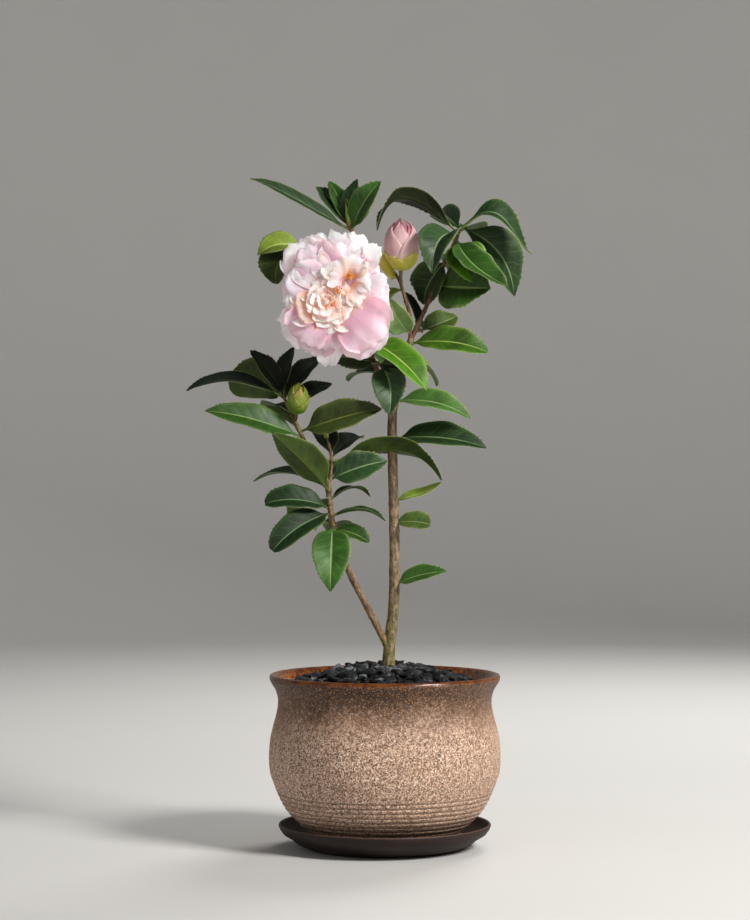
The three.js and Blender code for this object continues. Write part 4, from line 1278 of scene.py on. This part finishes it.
def bloom():
    sheets = Sheets()
    centre, facing = Vector(BLOOM["centre"]), Vector(BLOOM["facing"]).normalized()

    def at(spot, ahead):
        return centre + Vector((spot[0], 0, spot[1])) + facing * ahead

    for kind, spot, ahead, angle, long, wide, start, end, cup, ruffle, ragged in PETALS:
        foot, ends = at(spot, ahead), (start, end)
        petal(sheets, foot, facing, angle, long, wide, ends, cup, ruffle, PETAL[kind], ragged)
    draw = random.Random(HEART["seed"])
    for turn, (count, first_angle, ahead, out, length, wide, start, end) in enumerate(ROUNDS):
        for k in range(count):
            angle = first_angle + k * 360 / count + draw.uniform(-16, 16)
            toward = max(0, math.cos(math.radians(angle - HEART["leans_from"])))
            long = length * (1 - HEART["lopsided"] * toward) * draw.uniform(0.86, 1.12)
            x, z = math.cos(math.radians(angle)) * out, math.sin(math.radians(angle)) * out
            foot = at((HEART["at"][0] + x, HEART["at"][1] + z), ahead)
            pair = (PETAL["cream" if (k + turn) % 3 else "heart"], PETAL["heart"])
            ends = (start + draw.uniform(-6, 6), end + draw.uniform(-8, 8))
            petal(sheets, foot, facing, angle, long, wide, ends, 0.2, 1.5, pair, 0.35, 11)
    foot = at(HEART["at"], 7)
    shell(sheets, foot, foot + facing * 9, 8, 0, WHOLE, (0.02, 1.0), 0, PETAL["heart"], wave=0)
    foot = at((0, 0), -10)
    for k in range(5):
        angle = 72 * k + 12
        petal(sheets, foot, facing, angle, 15, 14, (-6, 18), 0.25, 0.6, SCALE["green"], 0.1, 8)
    finished("bloom_petals", sheets.mesh("bloom"), ["bloom"])
    lines = []
    for spot, count, spread, tall in STAMENS:
        for k in range(count):
            angle, far = math.radians(k * 137.5), spread * math.sqrt((k + 0.5) / count)
            radial = Vector((math.cos(angle), 0, math.sin(angle)))
            foot = at(spot, 3) + radial * far * 0.5
            end = foot + facing * tall * draw.uniform(0.85, 1.1) + radial * far * 0.8
            steps = [i / 8 for i in range(9)]
            lines.append([(foot.lerp(end, t), 0.75 if 0.85 < t < 1 else 0.3, t) for t in steps])
    finished("bloom_stamens", skinned("stamens", lines, stamen_finish(), 8, 0.05))


# ---- Buds ----
EGG = crossing([
    (0, 0.1), (0.06, 0.5), (0.17, 0.78), (0.33, 0.96), (0.5, 1), (0.67, 0.92), (0.83, 0.68),
    (0.95, 0.32), (1, 0.04),
])
SHELL_THICK = 0.45
# Half the angle that a shell spans when it goes all round the egg, with no point at its tip.
WHOLE = 181


def shell(sheets, foot, top, wide, around, span, heights, off, finish, wave=0.5):
    """One petal or scale that wraps an egg from a low share of its height to a high one."""
    axis = (top - foot).normalized()
    length = (top - foot).length
    right = axis.cross(Vector((0, 1, 0))).normalized()
    back = axis.cross(right)
    pointed = 99 if span == WHOLE else 2.2
    across = [-1, -0.85, -0.6, -0.3, 0, 0.3, 0.6, 0.85, 1]
    pairs = []
    for share in (i / 9 for i in range(10)):
        pairs.append([])
        for a in across:
            height = lerp(*heights, share * (1 - 0.16 * a * a))
            turn = math.radians(around + span * a * (1 - share**pointed * 0.92))
            outward = right * math.cos(turn) + back * math.sin(turn)
            gone = off + wave * share**3 * math.sin(a * 6 + around) + 0.3 * (1 - abs(a)) * share
            radius = max(0.05, EGG(clamp(height)) * wide / 2 + gone)
            place = foot + axis * (height * length) + outward * radius
            pairs[-1].append((place, place - outward * min(SHELL_THICK, radius * 0.8)))
    sheets.add(pairs, across, finish, finish)


def bud(sheets, foot, top, wide, layers):
    """Overlapping shells round an egg: (finish, how many, first angle, span, low, high, off)."""
    foot, top = Vector(foot), Vector(top)
    for finish, count, first, span, low, high, off in layers:
        for k in range(count):
            heights = (low, high - 0.03 * (k % 2))
            angle, step = first + k * 360 / count, off + 0.25 * (k % 2)
            shell(sheets, foot, top, wide, angle, span, heights, step, finish)


bloom()
pink = Sheets()
bud(pink, (15, -8, 495.5), (14, -9, 541), 30.5, [
    (PETAL["of_bud_inner"], 1, 0, WHOLE, 0.02, 1.0, -2.2),
    (PETAL["of_bud_inner"], 3, 20, 75, 0.02, 1.0, -1.6),
    (PETAL["of_bud"], 3, 80, 84, 0.02, 0.99, -0.9),
    (PETAL["of_bud"], 3, 30, 80, 0.02, 0.95, -0.2),
    (SCALE["sepal"], 3, 15, 66, 0.0, 0.4, 0.3),
    (SCALE["sepal"], 2, 60, 60, 0.0, 0.27, 0.8),
])
finished("pink_bud_petals", pink.mesh("pink_bud"), ["pink_bud"])
green = Sheets()
bud(green, (-76, -12, 372), (-73, -16, 400), 19.8, [
    (SCALE["green"], 1, 0, WHOLE, 0.02, 1.0, -1.4),
    (SCALE["green"], 3, 30, 80, 0.02, 1.0, -1.0),
    (SCALE["tip"], 2, 100, 80, 0.02, 0.9, -0.5),
    (SCALE["green"], 3, 60, 72, 0.0, 0.66, 0.0),
    (SCALE["green"], 3, 0, 60, 0.0, 0.38, 0.4),
])
finished("green_bud_scales", green.mesh("green_bud"), ["green_bud"])

small = Sheets()
root, beside, yellow = Vector((8, -1, 489)), Vector((0.3, -1, 0.2)), SCALE["sepal"]
petal(small, root, beside, 116, 26, 12, (22, -12), -0.5, 0.5, yellow, 0.2, 12)
for _, _, _, *buds in FOLIAGE.values():
    for foot, top, wide in buds[0] if buds else ():
        bud(small, foot, top, wide, [
            (SCALE["shoot"], 2, 40, 90, 0.0, 1.0, -0.2),
            (SCALE["shoot"], 2, 130, 80, 0.0, 0.72, 0.1),
            (SCALE["husk"], 3, 0, 60, -0.04, 0.2, 0.45),
        ])
finished("leaf_buds", small.mesh("leaf_buds"))

# ---- Floor, backdrop and end ----
# A round floor whose edge curves up into a pale wall, so that no horizon shows from any side.
FLOOR, CURVE, WALL_TOP, AROUND = 2500, 900, 4200, 64
profile = [(1400, 0), (FLOOR, 0)]
for step in range(1, 9):
    bend = step / 16 * math.pi
    profile.append((FLOOR + CURVE * math.sin(bend), CURVE - CURVE * math.cos(bend)))
profile.append((FLOOR + CURVE, WALL_TOP))
spots = [Vector((0, 0, 0))]
for radius, height in profile:
    spots += ring(radius, height, AROUND)
quads = [(0, 1 + k, 1 + (k + 1) % AROUND) for k in range(AROUND)]
for i in range(len(profile) - 1):
    a, b = 1 + i * AROUND, 1 + (i + 1) * AROUND
    for k in range(AROUND):
        after = (k + 1) % AROUND
        quads.append((a + k, b + k, b + after, a + after))
floor = bpy.data.objects.new("floor", bpy.data.meshes.new("floor"))
floor.data.from_pydata([p * MM for p in spots], [], quads)
floor.data.polygons.foreach_set("use_smooth", [True] * len(quads))
floor.location.z = -0.0005
plain = Finish("floor", Roughness=0.9)
tone = plain.mix(plain.noise(plain.place(), 3), paint("c9c8c6"), paint("cdccca"))
plain.feed("Base Color", tone)
floor.data.materials.append(plain.material)
SHOWN.link(floor)

world = bpy.data.worlds.new("studio")
world.use_nodes = True
sky = world.node_tree.nodes["Background"].inputs
sky["Color"].default_value = (0.72, 0.74, 0.77, 1)
sky["Strength"].default_value = 0.15
bpy.context.scene.world = world
